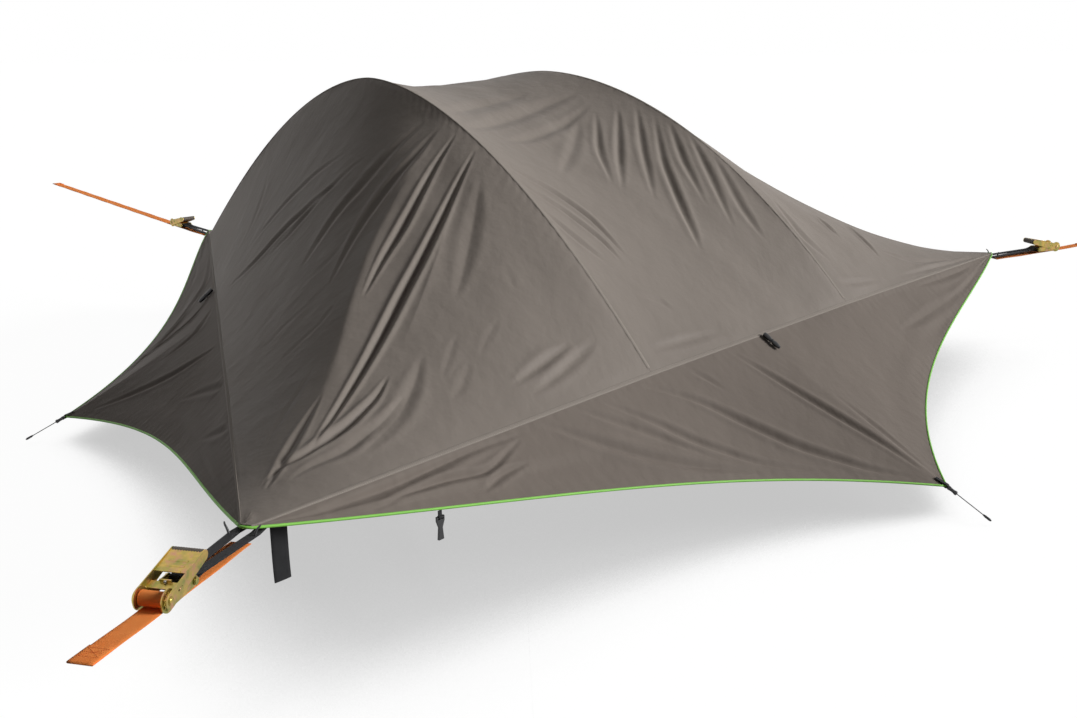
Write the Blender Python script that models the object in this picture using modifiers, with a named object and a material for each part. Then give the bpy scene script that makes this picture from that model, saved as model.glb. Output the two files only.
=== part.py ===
"""Tree tent: a three-sided tent that hangs from three trees on ratchet straps, under a six-pointed rainfly.

Metres, +Z up, front (the door side) towards -Y. The origin is the middle of the floor's plane of webbing,
midway between the three corners. The corners are left (front left), right (front right) and rear.
"""

import math

import bmesh
import bpy
from mathutils import Matrix, Vector

# Plan of the tent
side_length = 4.1
corner_radius = side_length / math.sqrt(3)
side_distance = corner_radius / 2
fit_gap = 0.0003
corner_names = ("left", "right", "rear")
corner_angle = {"left": math.radians(210), "right": math.radians(330), "rear": math.radians(90)}
side_angle = {"front": math.radians(0), "right": math.radians(120), "left": math.radians(240)}

# Poles
pole_radius = 0.00495
pole_rise = 0.85
pole_lean = 0.079
pole_front_share = 0.35
pole_rear_share = 0.93
pole_skew_share = 0.257
arch_exponent = 1.756
arch_segments = 26
patch_segments = 3
round_sides = 16
ferrule_radius = 0.0062
ferrule_length = 0.03
pole_section_shares = (5.5 / 26, 10.5 / 26, 15.5 / 26, 20.5 / 26)
pole_end_share = 0.003
socket_wall = 0.0012
socket_reach = 0.022
socket_post = 0.012
socket_base_size = 0.032
socket_base_thickness = 0.003

# Rainfly
fly_thickness = 0.001
fly_clearance = 0.034
corner_lift = 0.02
corner_trim = 0.07
seam_gap = 0.0009
side_sag_exponent = 1.8
front_sag_share = 0.32
rear_sag_share = -0.18
wing_reach = {"front": 0.69, "left": 0.59, "right": 0.59}
wing_drop = 0.337
edge_draw = 0.12
edge_draw_skew_share = 0.7
wing_sag = 0.012
piping_radius = 0.0035
side_fold_shares = ((0.16, 0.035), (0.27, 0.03), (0.36, 0.03), (0.47, 0.035), (0.6, 0.04), (0.74, 0.045))
side_fold_depth = 0.016
middle_fold_shares = (
    (0.18, 0.0, 0.05, 0.6),
    (0.34, 0.12, 0.2, 0.8),
    (0.3, 1.0, 0.1, 0.62),
    (0.4, 1.0, 0.2, 0.78),
)
middle_fold_width_share = 0.05
middle_fold_depth = 0.014
wing_fold_shares = (0.2, 0.34, 0.66, 0.8)
wing_fold_width_share = 0.05
wing_fold_depth = 0.012
wing_columns = 20
wing_rows = 7

# Webbing and floor
webbing_width = 0.05
webbing_thickness = 0.003
web_inset = 0.002
web_corner_cut = 0.075
floor_thickness = 0.002
hatch_distance = 0.16
hatch_side_gap = 0.0016
hatch_ring_width = 0.025
inner_inset = 0.045
inner_drop = 0.05
inner_thickness = 0.001

# Ratchet buckles
spool_reach = 0.34
strap_climb = math.radians(4.5)
spool_radius = 0.0085
slot_height = 0.0042
wheel_radius = 0.019
wheel_root_radius = 0.0152
wheel_teeth = 12
wheel_thickness = 0.0025
frame_gap = 0.0545
frame_plate = 0.0025
frame_rim_margin = 0.004
side_clearance = 0.0006
anchor_distance = 0.095
anchor_radius = 0.006
frame_tail_radius = 0.01
frame_bar_top = 0.0035
frame_bar_bottom = 0.0165
frame_floor_length = 0.022
handle_plate = 0.002
handle_hub_radius = 0.016
handle_length = 0.132
handle_tail_radius = 0.011
grip_radius = 0.0085
handle_rest = math.radians(18)
lock_tilt = math.radians(-12)
pawl_prong = 0.008
pawl_length = 0.028
pawl_thickness = 0.003
pawl_ear_start = 0.012
pawl_ear_stop = 0.022
pawl_lip = 0.008
pawl_travel = 0.0036
pawl_slack = 0.001
strap_width = 0.05
strap_thickness = 0.002
winding_pitch = 0.00245
winding_turns = 2.5
strap_reach = {"left": 0.22, "right": 0.22, "rear": 1.54}
strap_fold = 0.06
strap_tail = 0.33
sling_band_width = 0.026
sling_thickness = 0.004
sling_spread = 0.024
sling_plate_length = 0.02
hook_length = 0.024
hook_radius = 0.0035

# Guy lines and small trim
guy_radius = 0.0015
guy_length = 0.13
guy_slope = math.radians(27)
adjuster_length = 0.034
adjuster_radius = 0.007
guy_end_radius = 0.004
guy_end_length = 0.03
toggle_length = 0.075
toggle_radius = 0.0085
toggle_share = {"front": 0.5, "right": 0.6, "left": 0.4}
strip_width = 0.045
strip_length = 0.15
strip_thickness = 0.0025
strip_distance = 0.105
clip_share = 0.11
clip_length = 0.052
clip_width = 0.024
clip_thickness = 0.006
tab_length = 0.014
tab_thickness = 0.002

for old in list(bpy.data.objects):
    bpy.data.objects.remove(old, do_unlink=True)
tent = bpy.data.collections.new("tree_tent")
bpy.context.scene.collection.children.link(tent)


def finish(name, colour, roughness, metallic=0.0):
    made = bpy.data.materials.new(name)
    made.use_nodes = True
    shader = made.node_tree.nodes["Principled BSDF"]
    shader.inputs["Base Color"].default_value = (*colour, 1)
    shader.inputs["Roughness"].default_value = roughness
    shader.inputs["Metallic"].default_value = metallic
    made.diffuse_color = (*colour, 1)
    return made


fly_cloth = finish("fly_cloth", (0.16, 0.13, 0.11), 0.6)
piping_green = finish("piping_green", (0.13, 0.6, 0.06), 0.5)
pole_aluminium = finish("pole_aluminium", (0.5, 0.5, 0.52), 0.3, 1.0)
black_plastic = finish("black_plastic", (0.02, 0.02, 0.02), 0.45)
black_webbing = finish("black_webbing", (0.015, 0.015, 0.015), 0.8)
orange_webbing = finish("orange_webbing", (0.9, 0.2, 0.02), 0.7)
floor_cloth = finish("floor_cloth", (0.06, 0.06, 0.06), 0.8)
mesh_cloth = finish("mesh_cloth", (0.05, 0.05, 0.05), 0.9)
yellow_zinc = finish("yellow_zinc", (0.75, 0.55, 0.2), 0.3, 1.0)
guy_grey = finish("guy_grey", (0.4, 0.4, 0.4), 0.7)


def add(name, data, look, parent=None, matrix=None):
    """An object in the tent's collection, in its parent's frame."""
    obj = bpy.data.objects.new(name, data)
    tent.objects.link(obj)
    if look and data:
        data.materials.clear()
        data.materials.append(look)
    obj.parent = parent
    if matrix:
        obj.matrix_basis = matrix
    return obj


def mesh_of(obj):
    """The object's evaluated mesh in world space, its caps welded. The object is removed."""
    bpy.context.view_layer.update()
    graph = bpy.context.evaluated_depsgraph_get()
    data = bpy.data.meshes.new_from_object(obj.evaluated_get(graph))
    data.transform(obj.matrix_world)
    work = bmesh.new()
    work.from_mesh(data)
    bmesh.ops.remove_doubles(work, verts=work.verts, dist=fit_gap / 100)
    bmesh.ops.recalc_face_normals(work, faces=work.faces)
    work.to_mesh(data)
    work.free()
    bpy.data.objects.remove(obj, do_unlink=True)
    return data


def plate_mesh(outlines, thickness, upright=False):
    """A flat plate from closed outlines, inner ones as holes: in XY, or in XZ when it stands upright."""
    curve = bpy.data.curves.new("plate", "CURVE")
    curve.dimensions = "2D"
    curve.fill_mode = "BOTH"
    curve.extrude = thickness / 2
    for outline in outlines:
        spline = curve.splines.new("POLY")
        spline.points.add(len(outline) - 1)
        for point, (x, y) in zip(spline.points, outline):
            point.co = (x, y, 0, 1)
        spline.use_cyclic_u = True
    turn = Matrix.Rotation(math.radians(90), 4, "X") if upright else Matrix()
    return mesh_of(add("plate", curve, None, matrix=turn))


def circle(radius, count, x=0.0, y=0.0):
    steps = [2 * math.pi * i / count for i in range(count)]
    return [(x + radius * math.cos(a), y + radius * math.sin(a)) for a in steps]


def link_outline(first_radius, second_radius, distance, count=10):
    """Two round ends with straight sides, from the origin towards -X."""
    lean = math.asin((first_radius - second_radius) / distance)
    half = math.pi / 2 - lean
    outline = []
    ends = (
        (0, first_radius, -math.pi + half, math.pi - half),
        (-distance, second_radius, math.pi - half, math.pi + half),
    )
    for x, radius, start, stop in ends:
        for i in range(count + 1):
            a = start + (stop - start) * i / count
            outline.append((x + radius * math.cos(a), radius * math.sin(a)))
    return outline


def box_mesh(size, centre=(0, 0, 0)):
    work = bmesh.new()
    bmesh.ops.create_cube(work, size=1)
    bmesh.ops.scale(work, vec=size, verts=work.verts)
    bmesh.ops.translate(work, vec=centre, verts=work.verts)
    data = bpy.data.meshes.new("box")
    work.to_mesh(data)
    work.free()
    return data


def rod_mesh(radius, length, axis, centre=(0, 0, 0), sides=round_sides, end_radius=None):
    """A rod or cone along an axis. The end radius is the one at the axis's far end."""
    work = bmesh.new()
    last = radius if end_radius is None else end_radius
    bmesh.ops.create_cone(work, cap_ends=True, segments=sides, radius1=radius, radius2=last, depth=length)
    turn = Vector((0, 0, 1)).rotation_difference(Vector(axis)).to_matrix()
    bmesh.ops.rotate(work, matrix=turn, verts=work.verts)
    bmesh.ops.translate(work, vec=centre, verts=work.verts)
    data = bpy.data.meshes.new("rod")
    work.to_mesh(data)
    work.free()
    return data


def combined(solids, cutters=()):
    """One closed mesh: the union of the solids, less the cutters."""
    base = add("base", solids[0], None)
    others = [(add("piece", data, None), "UNION") for data in solids[1:]]
    others += [(add("cutter", data, None), "DIFFERENCE") for data in cutters]
    for other, operation in others:
        step = base.modifiers.new(operation, "BOOLEAN")
        step.object = other
        step.operation = operation
        step.solver = "EXACT"
    data = mesh_of(base)
    for other, _ in others:
        bpy.data.objects.remove(other, do_unlink=True)
    return data


def tube(name, points, radius, look, cyclic=False, resolution=2, radii=None):
    """A round tube along a list of points, with filled ends unless it closes on itself."""
    curve = bpy.data.curves.new(name, "CURVE")
    curve.dimensions = "3D"
    curve.bevel_depth = radius
    curve.bevel_resolution = resolution
    curve.use_fill_caps = not cyclic
    spline = curve.splines.new("POLY")
    spline.points.add(len(points) - 1)
    for i, place in enumerate(points):
        spline.points[i].co = (*place, 1)
        spline.points[i].radius = radii[i] if radii else 1
    spline.use_cyclic_u = cyclic
    return add(name, curve, look)


def turned_mesh(profile, sides=16):
    """A body turned about X from (radius, distance along X) points, first to last."""
    work = bmesh.new()
    ring = [work.verts.new((x, 0, radius)) for radius, x in profile]
    edges = [work.edges.new(pair) for pair in zip(ring, ring[1:])]
    bmesh.ops.spin(
        work,
        geom=ring + edges,
        axis=(1, 0, 0),
        cent=(0, 0, 0),
        steps=sides,
        angle=2 * math.pi,
        use_merge=True,
    )
    bmesh.ops.remove_doubles(work, verts=work.verts, dist=fit_gap / 100)
    bmesh.ops.recalc_face_normals(work, faces=work.faces)
    data = bpy.data.meshes.new("turned")
    work.to_mesh(data)
    work.free()
    return data


def sheet(name, columns, rows, surface, thickness, look):
    """Cloth: a grid laid on a surface of two shares from 0 to 1, with its thickness added on both sides."""
    work = bmesh.new()
    bmesh.ops.create_grid(work, x_segments=columns, y_segments=rows, size=0.5)
    for vert in work.verts:
        vert.co = surface(vert.co.x + 0.5, vert.co.y + 0.5)
    bmesh.ops.remove_doubles(work, verts=work.verts, dist=fit_gap / 100)
    data = bpy.data.meshes.new(name)
    work.to_mesh(data)
    work.free()
    data.shade_smooth()
    obj = add(name, data, look)
    thicken = obj.modifiers.new("thickness", "SOLIDIFY")
    thicken.thickness = thickness
    thicken.offset = 0
    return obj


def corner_point(corner, radius, height=0.0):
    angle = corner_angle[corner]
    return Vector((radius * math.cos(angle), radius * math.sin(angle), height))


def ridge_point(along, hand, radius, base, rise):
    """A point of the arch on one hand (-1 left, 1 right), at a share from its front foot to its rear foot."""
    near = corner_point("left" if hand < 0 else "right", radius)
    other = corner_point("right" if hand < 0 else "left", radius)
    front_foot = near.lerp(other, pole_front_share)
    rear_foot = near.lerp(corner_point("rear", radius), pole_rear_share)
    skewed = along + pole_skew_share * along * (1 - along)
    lift_share = 1 - abs(2 * skewed - 1) ** arch_exponent
    run = (rear_foot - front_foot).normalized()
    outward = Vector((run.y, -run.x, 0)) * hand
    point = front_foot.lerp(rear_foot, along) + outward * pole_lean * lift_share
    return point + Vector((0, 0, base + rise * lift_share))


def fold_share(value, middle, width):
    return math.exp(-(((value - middle) / width) ** 2))


roof_radius = corner_radius - seam_gap


def side_surface(hand, radius, base, rise, low, folded, trim):
    """The cone of cloth from a front corner to the arch on its hand."""

    def surface(along, across):
        ridge = ridge_point(along, hand, radius, base, rise)
        corner = corner_point("left" if hand < 0 else "right", radius, low)
        length = (ridge - corner).length
        first = corner_trim / length if trim else 0.0
        reach = first + (1 - first - seam_gap / 2 / length) * across
        point = corner.lerp(Vector((ridge.x, ridge.y, base)), reach)
        point.z += (ridge.z - base) * reach**side_sag_exponent
        if folded:
            for middle, width in side_fold_shares:
                point.z -= side_fold_depth * fold_share(along, middle, width) * reach**1.5 * (1 - reach) * 4
        return point

    return surface


def middle_height(along, across, base, ridge):
    sag = front_sag_share * (1 - along) ** 2 + rear_sag_share * along**2
    return base + (ridge - base) * (1 - sag * 4 * across * (1 - across))


def middle_surface(length_share, across_share):
    """The cloth between the arches, from the front seam to the rear corner."""
    turn_share = arch_segments / (arch_segments + patch_segments)
    along = min(length_share / turn_share, 1)
    left = ridge_point(along, -1, roof_radius, fly_clearance, pole_rise)
    right = ridge_point(along, 1, roof_radius, fly_clearance, pole_rise)
    first = seam_gap / 2 / (right - left).length
    across = first + (1 - 2 * first) * across_share
    point = left.lerp(right, across)
    point.z = middle_height(along, across, fly_clearance, point.z)
    for along_start, across_start, along_stop, across_stop in middle_fold_shares:
        start = Vector((along_start, across_start))
        line = Vector((along_stop, across_stop)) - start
        place = Vector((along, across)) - start
        share = place.dot(line) / line.length_squared
        offset = (place - line * share).length / middle_fold_width_share
        if 0 < share < 1:
            depth = middle_fold_depth * 4 * across * (1 - across)
            point.z -= depth * math.exp(-offset * offset) * math.sin(math.pi * share)
    if length_share > turn_share:
        rear = corner_point("rear", roof_radius, corner_lift)
        to_corner = (length_share - turn_share) / (1 - turn_share)
        reach = 1 - corner_trim / (rear - point).length
        point = point.lerp(rear, to_corner * reach)
    return point


def side_frame(side):
    """Turns a place given beside the front side into the same place beside any side."""
    return Matrix.Rotation(side_angle[side], 4, "Z")


def seam_height(side, share):
    """Height of the seam over a side, from its corner at -X to its corner at +X as the front side is seen."""
    peaks = {
        "front": (pole_front_share, 1 - pole_front_share),
        "right": (pole_rear_share, pole_rear_share),
        "left": (1 - pole_rear_share, 1 - pole_rear_share),
    }
    first, last = peaks[side]
    rising = min(share / first, (1 - share) / (1 - last), 1)
    return corner_lift + (fly_clearance - corner_lift) * rising


def wing_tip(side):
    return Vector((0, -side_distance - wing_reach[side], -wing_drop))


def edge_point(side, share):
    """A wing's lower edge as if beside the front side: two arcs between the corners and the guyed tip."""
    hand = -1 if share < 0.5 else 1
    reach = 1 - abs(2 * share - 1)
    corner = Vector((hand * side_length / 2, -side_distance, corner_lift))
    inward = Vector((-hand * wing_reach[side], side_length / 2, 0)).normalized()
    draw = edge_draw * 4 * reach * (1 - reach) * (1 + edge_draw_skew_share * (2 * reach - 1))
    return corner.lerp(wing_tip(side), reach) + inward * draw


def wing_surface(side):
    end_share = corner_trim / side_length

    def surface(along, out):
        share = end_share + (1 - 2 * end_share) * along
        seam_line = -side_distance - seam_gap / 2
        seam = Vector(((share - 0.5) * side_length, seam_line, seam_height(side, share)))
        edge = edge_point(side, share)
        edge += (seam - edge).normalized() * (piping_radius + fly_thickness / 2 + fit_gap)
        point = seam.lerp(edge, out)
        hang = 4 * out * (1 - out) * (seam - edge).length / wing_reach[side]
        point.z -= wing_sag * hang
        for middle in wing_fold_shares:
            fan = 0.5 + (middle - 0.5) * (1 - out)
            point.z -= wing_fold_depth * hang * fold_share(along, fan, wing_fold_width_share)
        return side_frame(side) @ point

    return surface


def make_fly():
    for hand, name in ((-1, "fly_panel_left"), (1, "fly_panel_right")):
        surface = side_surface(hand, roof_radius, fly_clearance, pole_rise, corner_lift, True, True)
        sheet(name, arch_segments, 12, surface, fly_thickness, fly_cloth)
    sheet("fly_panel_middle", arch_segments + patch_segments, 14, middle_surface, fly_thickness, fly_cloth)
    for side in ("front", "left", "right"):
        sheet("fly_wing_" + side, wing_columns, wing_rows, wing_surface(side), fly_thickness, fly_cloth)


def make_piping():
    """One closed green tube round the whole lower edge."""
    points = []
    end_share = corner_trim / side_length
    count = 20
    for side in ("front", "right", "left"):
        for i in range(count + 1):
            share = end_share + (1 - 2 * end_share) * i / count
            points.append(side_frame(side) @ edge_point(side, share))
        corner = {"front": "right", "right": "rear", "left": "left"}[side]
        points.append(corner_point(corner, corner_radius - corner_trim / 3, corner_lift))
    tube("fly_piping", points, piping_radius, piping_green, cyclic=True, resolution=1)


def pole_point(along, hand):
    """The pole's centre under the ridge, where its ferrules would just touch the panels on both sides."""
    ridge = ridge_point(along, hand, roof_radius, fly_clearance, pole_rise)
    other = ridge_point(along, -hand, roof_radius, fly_clearance, pole_rise)
    step = 0.001
    tangent = ridge_point(along + step, hand, roof_radius, fly_clearance, pole_rise) - ridge
    corner = corner_point("left" if hand < 0 else "right", roof_radius, fly_clearance)
    outward = Vector((corner.x - ridge.x, corner.y - ridge.y, (corner.z - ridge.z) * side_sag_exponent))
    inward = ridge.lerp(other, step)
    inward.z = middle_height(along, step, fly_clearance, ridge.z)
    normals = []
    for slope in (outward, inward - ridge):
        normal = tangent.cross(slope).normalized()
        normals.append(normal if normal.z > 0 else -normal)
    clear = ferrule_radius + fly_thickness / 2 + 3 * fit_gap
    return ridge - (normals[0] + normals[1]) * clear / (1 + normals[0].dot(normals[1]))


def pole_place(along, hand):
    """The pole's centre on the straight runs between the stations that the panels use too."""
    station = min(int(along * arch_segments), arch_segments - 1)
    start = pole_point(station / arch_segments, hand)
    return start.lerp(pole_point((station + 1) / arch_segments, hand), along * arch_segments - station)


def make_poles():
    """Each pole is a tube of five sections, joined by ferrules, bent into an arch under the fly's ridge."""
    for hand, name in ((-1, "pole_left"), (1, "pole_right")):
        length = (pole_point(1, hand) - pole_point(0, hand)).length
        half = ferrule_length / 2 / length
        edge = half / 10
        swell = ferrule_radius / pole_radius
        stations = [(i / arch_segments, 1.0) for i in range(1, arch_segments)]
        stations += [(pole_end_share, 1.0), (1 - pole_end_share, 1.0)]
        for middle in pole_section_shares:
            stations += [(middle - half - edge, 1.0), (middle - half, swell), (middle + half, swell)]
            stations += [(middle + half + edge, 1.0)]
        stations.sort()
        points = [pole_place(share, hand) for share, _ in stations]
        tube(name, points, pole_radius, pole_aluminium, radii=[swell for _, swell in stations])


def make_sockets():
    """Each pole end stands in a short tilted cup, on a post and a base plate sewn to the side webbing."""
    web_top = webbing_thickness / 2 + fit_gap
    outer = pole_radius + fit_gap + socket_wall
    for hand, hand_name in ((-1, "left"), (1, "right")):
        for place, end, step in (("front", pole_end_share, 0.01), ("rear", 1 - pole_end_share, -0.01)):
            foot = pole_place(end, hand)
            direction = (pole_place(end + step, hand) - foot).normalized()
            start = foot - direction * (socket_wall + fit_gap)
            barrel_length = socket_reach + socket_wall + fit_gap
            barrel = rod_mesh(outer, barrel_length, direction, start + direction * barrel_length / 2, 20)
            bore_middle = foot + direction * (socket_reach - fit_gap)
            cut = rod_mesh(pole_radius + fit_gap, 2 * socket_reach, direction, bore_middle, 16)
            plan = Vector((direction.x, direction.y, 0)).normalized()
            post_middle = start + plan * socket_post / 2
            turn = Matrix.Rotation(math.atan2(plan.y, plan.x), 4, "Z")
            height = start.z - web_top
            post = box_mesh((socket_post, socket_post * 0.8, height))
            post.transform(Matrix.Translation((post_middle.x, post_middle.y, web_top + height / 2)) @ turn)
            side = "front" if place == "front" else hand_name
            side_turn = side_frame(side)
            outward = side_turn.to_3x3() @ Vector((0, -1, 0))
            from_side = side_distance - post_middle.dot(outward)
            shift = web_inset + socket_base_size / 2 + fit_gap - from_side
            base_middle = post_middle - outward * max(shift, 0)
            base = box_mesh((socket_base_size, socket_base_size, socket_base_thickness))
            base_height = web_top + socket_base_thickness / 2
            base.transform(Matrix.Translation((base_middle.x, base_middle.y, base_height)) @ side_turn)
            add(f"pole_socket_{place}_{hand_name}", combined([barrel, post, base], [cut]), black_plastic)


def make_inner():
    """The mesh tent under the poles, in one piece: a side cone, the middle and the other side cone."""
    radius = corner_radius - 2 * inner_inset
    base = webbing_thickness / 2 + inner_thickness / 2 + fit_gap
    rise = pole_rise + fly_clearance - base - inner_drop
    sides = {
        hand: side_surface(hand, radius, base, rise, base, False, False)
        for hand in (-1, 1)
    }

    def surface(along, across):
        third = across * 3
        if third <= 1:
            return sides[-1](along, third)
        if third >= 2:
            return sides[1](along, 3 - third)
        left = sides[-1](along, 1)
        point = left.lerp(sides[1](along, 1), third - 1)
        point.z = middle_height(along, third - 1, base, point.z)
        return point

    sheet("inner_tent", 14, 15, surface, inner_thickness, mesh_cloth)


def band_outline(start, stop, width):
    """A straight band as a plan outline."""
    run = (Vector(stop) - Vector(start)).normalized()
    side = Vector((-run.y, run.x)) * width / 2
    return [Vector(start) - side, Vector(stop) - side, Vector(stop) + side, Vector(start) + side]


def triangle(distance):
    """The plan of a triangle whose sides lie at a distance from the middle."""
    return [tuple(corner_point(corner, distance * 2).xy) for corner in corner_names]


def clipped_triangle(distance, cut):
    """The same with its corners cut square, this far in from each tip."""
    outline = []
    for corner in corner_names:
        middle = corner_point(corner, 2 * distance - cut)
        across = Vector((-middle.y, middle.x, 0)).normalized() * cut / math.sqrt(3)
        outline += [tuple((middle - across).xy), tuple((middle + across).xy)]
    return outline


def make_floor():
    """Webbing round the sides, a web from each corner to the hatch, and three sewn floor panels."""
    outside = side_distance - web_inset
    outline = clipped_triangle(outside, web_corner_cut)
    ring = plate_mesh([outline, triangle(outside - webbing_width)], webbing_thickness)
    add("perimeter_web", ring, black_webbing)
    inside = hatch_distance + hatch_ring_width
    hub = plate_mesh([triangle(inside), triangle(hatch_distance)], webbing_thickness)
    bands = []
    for corner in corner_names:
        start = corner_point(corner, inside * 2 - hatch_ring_width).xy
        stop = corner_point(corner, (outside - webbing_width) * 2 - webbing_width).xy
        bands.append(plate_mesh([band_outline(start, stop, webbing_width)], webbing_thickness))
    add("floor_web", combined([hub] + bands), black_webbing)
    outer = outside - webbing_width - fit_gap
    inner = inside + fit_gap
    shift = webbing_width + 2 * fit_gap
    root = math.sqrt(3)
    outline = [
        (-outer * root + shift, -outer),
        (outer * root - shift, -outer),
        (inner * root - shift, -inner),
        (-inner * root + shift, -inner),
    ]
    panel = plate_mesh([outline], floor_thickness)
    for side in ("front", "right", "left"):
        add("floor_panel_" + side, panel.copy(), floor_cloth, matrix=side_frame(side))


def make_hatch():
    """A three-cornered flap in the floor. Its origin is the lower line of its sewn front edge."""
    clear = hatch_distance - fit_gap
    slant = hatch_distance - hatch_side_gap
    half_width = (2 * slant + clear) / math.sqrt(3)
    outline = [(-half_width, 0), (half_width, 0), (0, 2 * slant + clear)]
    flap = plate_mesh([outline], floor_thickness)
    flap.transform(Matrix.Translation((0, 0, floor_thickness / 2)))
    place = Matrix.Translation((0, -clear, -floor_thickness / 2))
    add("hatch_flap", flap, floor_cloth, matrix=place)


frame_inner = frame_gap / 2
wheel_inner = frame_inner + frame_plate + side_clearance
handle_inner = wheel_inner + wheel_thickness + side_clearance
winding_start = spool_radius + fit_gap
winding_outer = winding_start + winding_turns * winding_pitch + strap_thickness
strap_level = -(winding_outer + fit_gap + strap_thickness / 2)


def mirrored_pair(outlines, thickness, inner):
    """Two upright plates, one on each side, that start at a distance from the middle."""
    pair = []
    for hand in (-1, 1):
        data = plate_mesh(outlines, thickness, upright=True)
        data.transform(Matrix.Translation((0, hand * (inner + thickness / 2), 0)))
        pair.append(data)
    return pair


def rectangle(x_low, x_high, height):
    half = height / 2
    return [(x_low, -half), (x_high, -half), (x_high, half), (x_low, half)]


pawl_tip = wheel_radius + 2 * fit_gap
web_stop = 2 * web_inset + web_corner_cut
wheel_outer = wheel_inner + wheel_thickness
frame_rim_radius = wheel_radius + frame_rim_margin


def slot_outline(start, stop):
    """A slot for a pawl's ears on the line from the spool towards -X, with room for the pawl's travel."""
    height = pawl_thickness + 2 * fit_gap
    x_low = -pawl_tip - stop - pawl_slack - fit_gap
    return rectangle(x_low, -pawl_tip - start + pawl_travel + fit_gap, height)


def frame_outline():
    """A round head about the spool, and a bar that runs low from it to a round tail about the anchor bolt."""
    top = math.pi - math.asin(frame_bar_top / frame_rim_radius)
    bottom = -math.pi + math.asin(frame_bar_bottom / frame_rim_radius)
    count = 20
    outline = []
    for i in range(count + 1):
        a = bottom + (top - bottom) * i / count
        outline.append((frame_rim_radius * math.cos(a), frame_rim_radius * math.sin(a)))
    count = 10
    for i in range(count + 1):
        a = math.pi / 2 + math.pi * i / count
        outline.append((frame_tail_radius * math.cos(a) - anchor_distance, frame_tail_radius * math.sin(a)))
    return outline


def frame_mesh():
    """Two side plates, an anchor bolt through their tails and a floor plate between them."""
    turn = Matrix.Rotation(-lock_tilt, 2)
    slot = [tuple(turn @ Vector(point)) for point in slot_outline(0, pawl_ear_start)]
    outlines = [frame_outline(), circle(spool_radius + fit_gap, round_sides), slot]
    plates = mirrored_pair(outlines, frame_plate, frame_inner)
    bolt_length = 2 * (frame_inner + frame_plate) + 4 * side_clearance
    bolt = rod_mesh(anchor_radius, bolt_length, (0, 1, 0), (-anchor_distance, 0, 0))
    heads = []
    for hand in (-1, 1):
        place = (-anchor_distance, hand * (bolt_length + frame_plate / 2) / 2, 0)
        heads.append(rod_mesh(anchor_radius * 1.5, frame_plate, (0, 1, 0), place, 6))
    floor_middle = -anchor_distance + frame_tail_radius + 3 * frame_plate / 2 + frame_floor_length / 2
    floor_size = (frame_floor_length, frame_gap + frame_plate, frame_plate)
    floor = box_mesh(floor_size, (floor_middle, 0, -frame_tail_radius + 1.5 * frame_plate))
    return combined(plates + [bolt, floor] + heads)


def wheel_outline():
    """Ratchet teeth: a steep face and a long back for each."""
    outline = []
    pitch = 2 * math.pi / wheel_teeth
    for i in range(wheel_teeth):
        middle = math.pi - lock_tilt + i * pitch
        for turn, radius in ((-0.27, wheel_root_radius), (0.27, wheel_root_radius), (0.36, wheel_radius)):
            angle = middle + turn * pitch
            outline.append((radius * math.cos(angle), radius * math.sin(angle)))
    return outline


def spool_mesh():
    """A slotted shaft with a toothed wheel at each end."""
    shaft_length = 2 * (handle_inner + handle_plate + side_clearance * 2)
    shaft = rod_mesh(spool_radius, shaft_length, (0, 1, 0), sides=round_sides)
    wheels = mirrored_pair([wheel_outline()], wheel_thickness, wheel_inner)
    slot = box_mesh((spool_radius * 4, frame_gap - frame_plate, slot_height))
    return combined([shaft] + wheels, [slot])


def handle_mesh():
    """Two side plates, a web between them and a round grip, folded back over the frame."""
    outlines = [
        link_outline(handle_hub_radius, handle_tail_radius, handle_length),
        circle(spool_radius + fit_gap, round_sides),
        slot_outline(pawl_ear_start, pawl_ear_stop),
    ]
    plates = mirrored_pair(outlines, handle_plate, handle_inner)
    grip = rod_mesh(grip_radius, 2 * (handle_inner + handle_plate / 2), (0, 1, 0), (-handle_length, 0, 0))
    web_start = pawl_tip + pawl_length + 5 * pawl_travel
    web_size = handle_length - web_start
    rise = handle_tail_radius - handle_plate
    size = (web_size, 2 * handle_inner + handle_plate, handle_plate)
    web = box_mesh(size, (-web_start - web_size / 2, 0, rise))
    return combined(plates + [grip, web])


def pawl_block(start, stop, half_width):
    size = (stop - start, 2 * half_width, pawl_thickness)
    return box_mesh(size, (-pawl_tip - (start + stop) / 2, 0, 0))


def lock_pawl_mesh():
    """A flat pawl between the frame's plates. Its two prongs pass their slots and point at the wheels."""
    inside = frame_inner - side_clearance
    window = pawl_block(-pawl_prong, pawl_prong, inside)
    window.transform(Matrix.Diagonal((1, 1, 2, 1)))
    prongs = pawl_block(0, pawl_ear_start, wheel_outer)
    return combined([prongs, pawl_block(pawl_prong / 2, pawl_length, inside)], [window])


def drive_pawl_mesh():
    """A flat pawl between the handle's plates: prongs, ears in the handle's slots and a finger lip."""
    window = pawl_block(-pawl_prong, pawl_prong, wheel_inner)
    window.transform(Matrix.Diagonal((1, 1, 2, 1)))
    ears = pawl_block(pawl_ear_start, pawl_ear_stop, handle_inner + handle_plate + side_clearance)
    lip = box_mesh((pawl_thickness, strap_width / 2, pawl_lip))
    lip.transform(Matrix.Translation((-pawl_tip - pawl_length + pawl_thickness / 2, 0, pawl_lip / 2)))
    return combined([pawl_block(0, pawl_length, wheel_outer), ears, lip], [window])


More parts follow.
